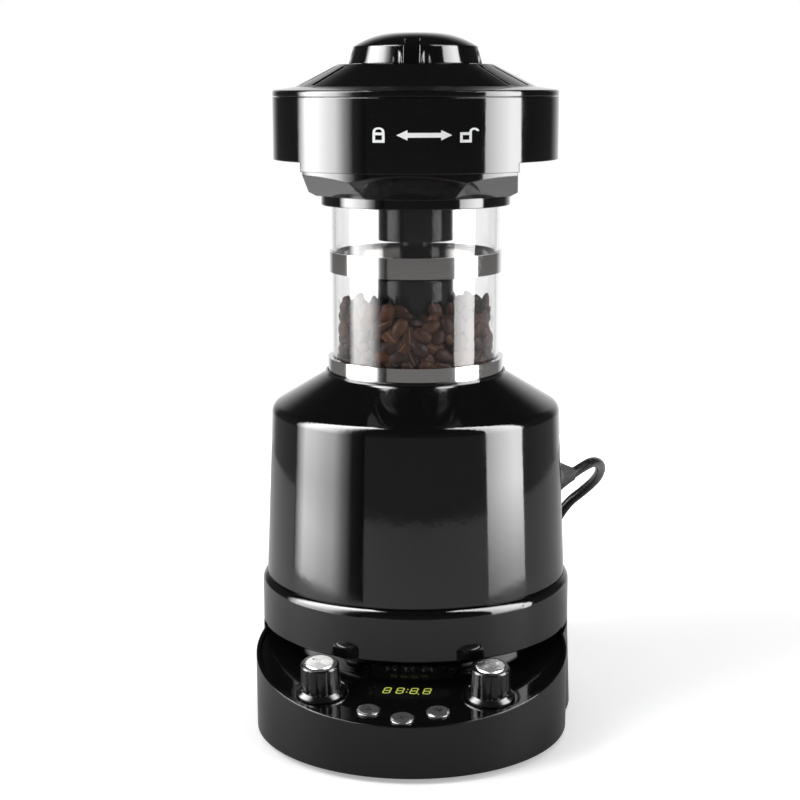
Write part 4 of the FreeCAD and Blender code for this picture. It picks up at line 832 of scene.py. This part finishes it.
tree.links.new(lit.outputs[0], surface.inputs[1])
tree.links.new(tree.emission(0.0), surface.inputs[2])
tree.links.new(surface.outputs[0], tree.nodes["Material Output"].inputs["Surface"])
bm = bmesh.new()
bmesh.ops.create_circle(bm, cap_ends=True, segments=96, radius=TABLE_RADIUS)
bmesh.ops.translate(bm, verts=bm.verts, vec=(0, 0, -TABLE_DROP))
table = bpy.data.objects.new("table", bpy.data.meshes.new("table"))
bm.to_mesh(table.data)
bm.free()
table.data.materials.append(table_finish)
bpy.context.scene.collection.objects.link(table)
print("table of", TABLE_RADIUS, "m")

# %% [markdown]
# ## Soft boxes
# Two tall soft boxes make the long highlights down the housing and the drum. Each is an upright arc round the machine,
# and two ramps give its light across and up. Only rays off gloss meet it, and through the glass it is weaker, so the
# tube and the column in there stay dark.


# %% Soft boxes
BOX_RADIUS, BOX_HEIGHT, BOX_CUTS, THROUGH_GLASS = 0.45, 1.6, 60, 0.15


def box_light(name, falls, strength):
    """A material that glows along the attributes in falls, each with the stops of its ramp."""
    material = bpy.data.materials.new(name)
    tree = StudioTree(material)
    tree.nodes.remove(tree.nodes["Principled BSDF"])
    total = strength
    for attribute, stops in falls.items():
        place = tree.nodes.new("ShaderNodeAttribute")
        place.attribute_name = attribute
        ramp = tree.nodes.new("ShaderNodeValToRGB")
        while len(ramp.color_ramp.elements) < len(stops):
            ramp.color_ramp.elements.new(0.5)
        for element, (position, grey) in zip(ramp.color_ramp.elements, stops):
            element.position = position
            element.color = (grey, grey, grey, 1)
        tree.links.new(place.outputs["Fac"], ramp.inputs["Fac"])
        total = tree.combined("MULTIPLY", ramp.outputs["Color"], total)
    for depth, operation in (("Glossy Depth", "GREATER_THAN"), ("Diffuse Depth", "LESS_THAN")):
        total = tree.combined("MULTIPLY", tree.combined(operation, tree.path[depth], 0.5), total)
    through = tree.mapped(tree.path["Transmission Depth"], 0.0, 1.0, 1.0, THROUGH_GLASS, smooth=False)
    total = tree.combined("MULTIPLY", through, total)
    tree.links.new(tree.emission(total), tree.nodes["Material Output"].inputs["Surface"])
    return material


def soft_box(name, turn_low, turn_high, across, up, strength):
    """An upright arc of light round the machine, seen in reflections only. Turns are in degrees from the camera."""
    bm = bmesh.new()
    across_layer = bm.verts.layers.float.new("across")
    up_layer = bm.verts.layers.float.new("up")
    bmesh.ops.create_grid(bm, x_segments=BOX_CUTS, y_segments=BOX_CUTS, size=0.5)
    for vert in bm.verts:
        share, rise = vert.co.x + 0.5, vert.co.y + 0.5
        angle = math.radians(turn_low + (turn_high - turn_low) * share) + TURN
        vert[across_layer], vert[up_layer] = share, rise
        vert.co = (BOX_RADIUS * math.sin(angle), AXIS_Y - BOX_RADIUS * math.cos(angle), BOX_HEIGHT * rise)
    card = bpy.data.objects.new(name, bpy.data.meshes.new(name))
    bm.to_mesh(card.data)
    bm.free()
    card.data.materials.append(box_light(name, {"across": across, "up": up}, strength))
    bpy.context.scene.collection.objects.link(card)
    for ray in ("camera", "diffuse", "volume_scatter", "shadow"):
        setattr(card, "visible_" + ray, False)
    print(name, "from", turn_low, "to", turn_high, "degrees")


# %% Place the soft boxes
soft_box("left_soft_box", -99, -36,
         [(0.0, 0.0), (0.02, 0.12), (0.175, 1.0), (0.34, 1.0), (0.479, 0.85), (0.606, 0.72), (0.729, 0.27),
          (0.843, 0.015), (0.954, 0.003), (1.0, 0.0)],
         [(0.0, 0.3), (0.028, 0.4), (0.051, 0.36), (0.079, 0.46), (0.158, 0.8), (0.375, 1.0), (1.0, 1.0)], 25)
soft_box("right_soft_box", 51.5, 84.2, [(0.0, 0.55), (0.35, 0.8), (0.7, 0.95), (1.0, 0.85)],
         [(0.0, 0.25), (0.011, 0.32), (0.028, 0.5), (0.051, 0.74), (0.079, 0.76), (0.158, 0.95), (1.0, 1.0)], 20)

# %% [markdown]
# ## Lamps
# Three lamps that reflections don't show light the colours at a plain level: a key from the upper left, a weaker fill
# from the right, and one from above and behind, which throws the shadow forward only a little.


# %% Lamps
def area_lamp(name, place, target, size, watts):
    lamp = bpy.data.lights.new(name, "AREA")
    lamp.shape = "RECTANGLE"
    lamp.size, lamp.size_y = size
    lamp.energy = watts
    made = bpy.data.objects.new(name, lamp)
    bpy.context.scene.collection.objects.link(made)
    made.location = place
    made.rotation_mode = "QUATERNION"
    made.rotation_quaternion = (Vector(place) - Vector(target)).to_track_quat("Z", "Y")
    made.visible_glossy = False
    made.visible_camera = False
    print(name, watts, "W")


area_lamp("key_lamp", (-0.95, -0.55, 1.05), (0, 0, 0.15), (0.7, 0.9), 15)
area_lamp("fill_lamp", (1.1, -0.7, 0.8), (0, 0, 0.2), (0.7, 0.9), 7)
area_lamp("top_lamp", (0.1, 0.5, 1.5), (0, 0, 0.1), (1.0, 1.0), 7)

# %% [markdown]
# ## World
# A ray off gloss sees a dim room that is darker above the horizon and pale straight behind the machine, where the
# white backdrop hangs. One that turned back inside the wall of the glass sees most of that white, because the
# side edges of real glass gather it from all round.

# %% World
MATT_LEVEL, GLASS_WALL_LEVEL = 0.32, 0.75
world = bpy.data.worlds.new("studio")
bpy.context.scene.world = world
tree = StudioTree(world)
background = tree.nodes["Background"]
direction = tree.nodes.new("ShaderNodeTexCoord")
split = tree.nodes.new("ShaderNodeSeparateXYZ")
tree.links.new(direction.outputs["Generated"], split.inputs["Vector"])
front = tree.mapped(split.outputs["Z"], -0.14, -0.02, 0.22, 0.07)
behind = tree.mapped(split.outputs["Y"], 0.75, 1.0, 0.0, 0.9)
height = tree.mapped(split.outputs["Z"], 0.25, 0.7, 1.0, 0.25)
reflected = tree.combined("MULTIPLY", tree.combined("ADD", front, behind), height)
walls = tree.path["Transmission Depth"]
in_glass = tree.combined("MULTIPLY", tree.combined("GREATER_THAN", walls, 0.5), tree.combined("LESS_THAN", walls, 3.5))
in_glass = tree.combined("MULTIPLY", in_glass, tree.mapped(split.outputs["Y"], -0.6, 0.2, 0.05, 1.0))
reflected = tree.combined("MAXIMUM", reflected, tree.combined("MULTIPLY", in_glass, GLASS_WALL_LEVEL))
after_mirror = tree.combined("GREATER_THAN", tree.path["Glossy Depth"], 0.5)
after_matt = tree.combined("GREATER_THAN", tree.path["Diffuse Depth"], 0.5)
mirrored = tree.combined("MULTIPLY", tree.combined("MULTIPLY", reflected, after_mirror),
                         tree.combined("SUBTRACT", 1.0, after_matt))
level = tree.combined("ADD", tree.combined("ADD", tree.straight(), mirrored),
                      tree.combined("MULTIPLY", after_matt, MATT_LEVEL))
tree.links.new(level, background.inputs["Strength"])
background.inputs["Color"].default_value = (1, 1, 1, 1)
bpy.context.scene.view_settings.view_transform = "Standard"
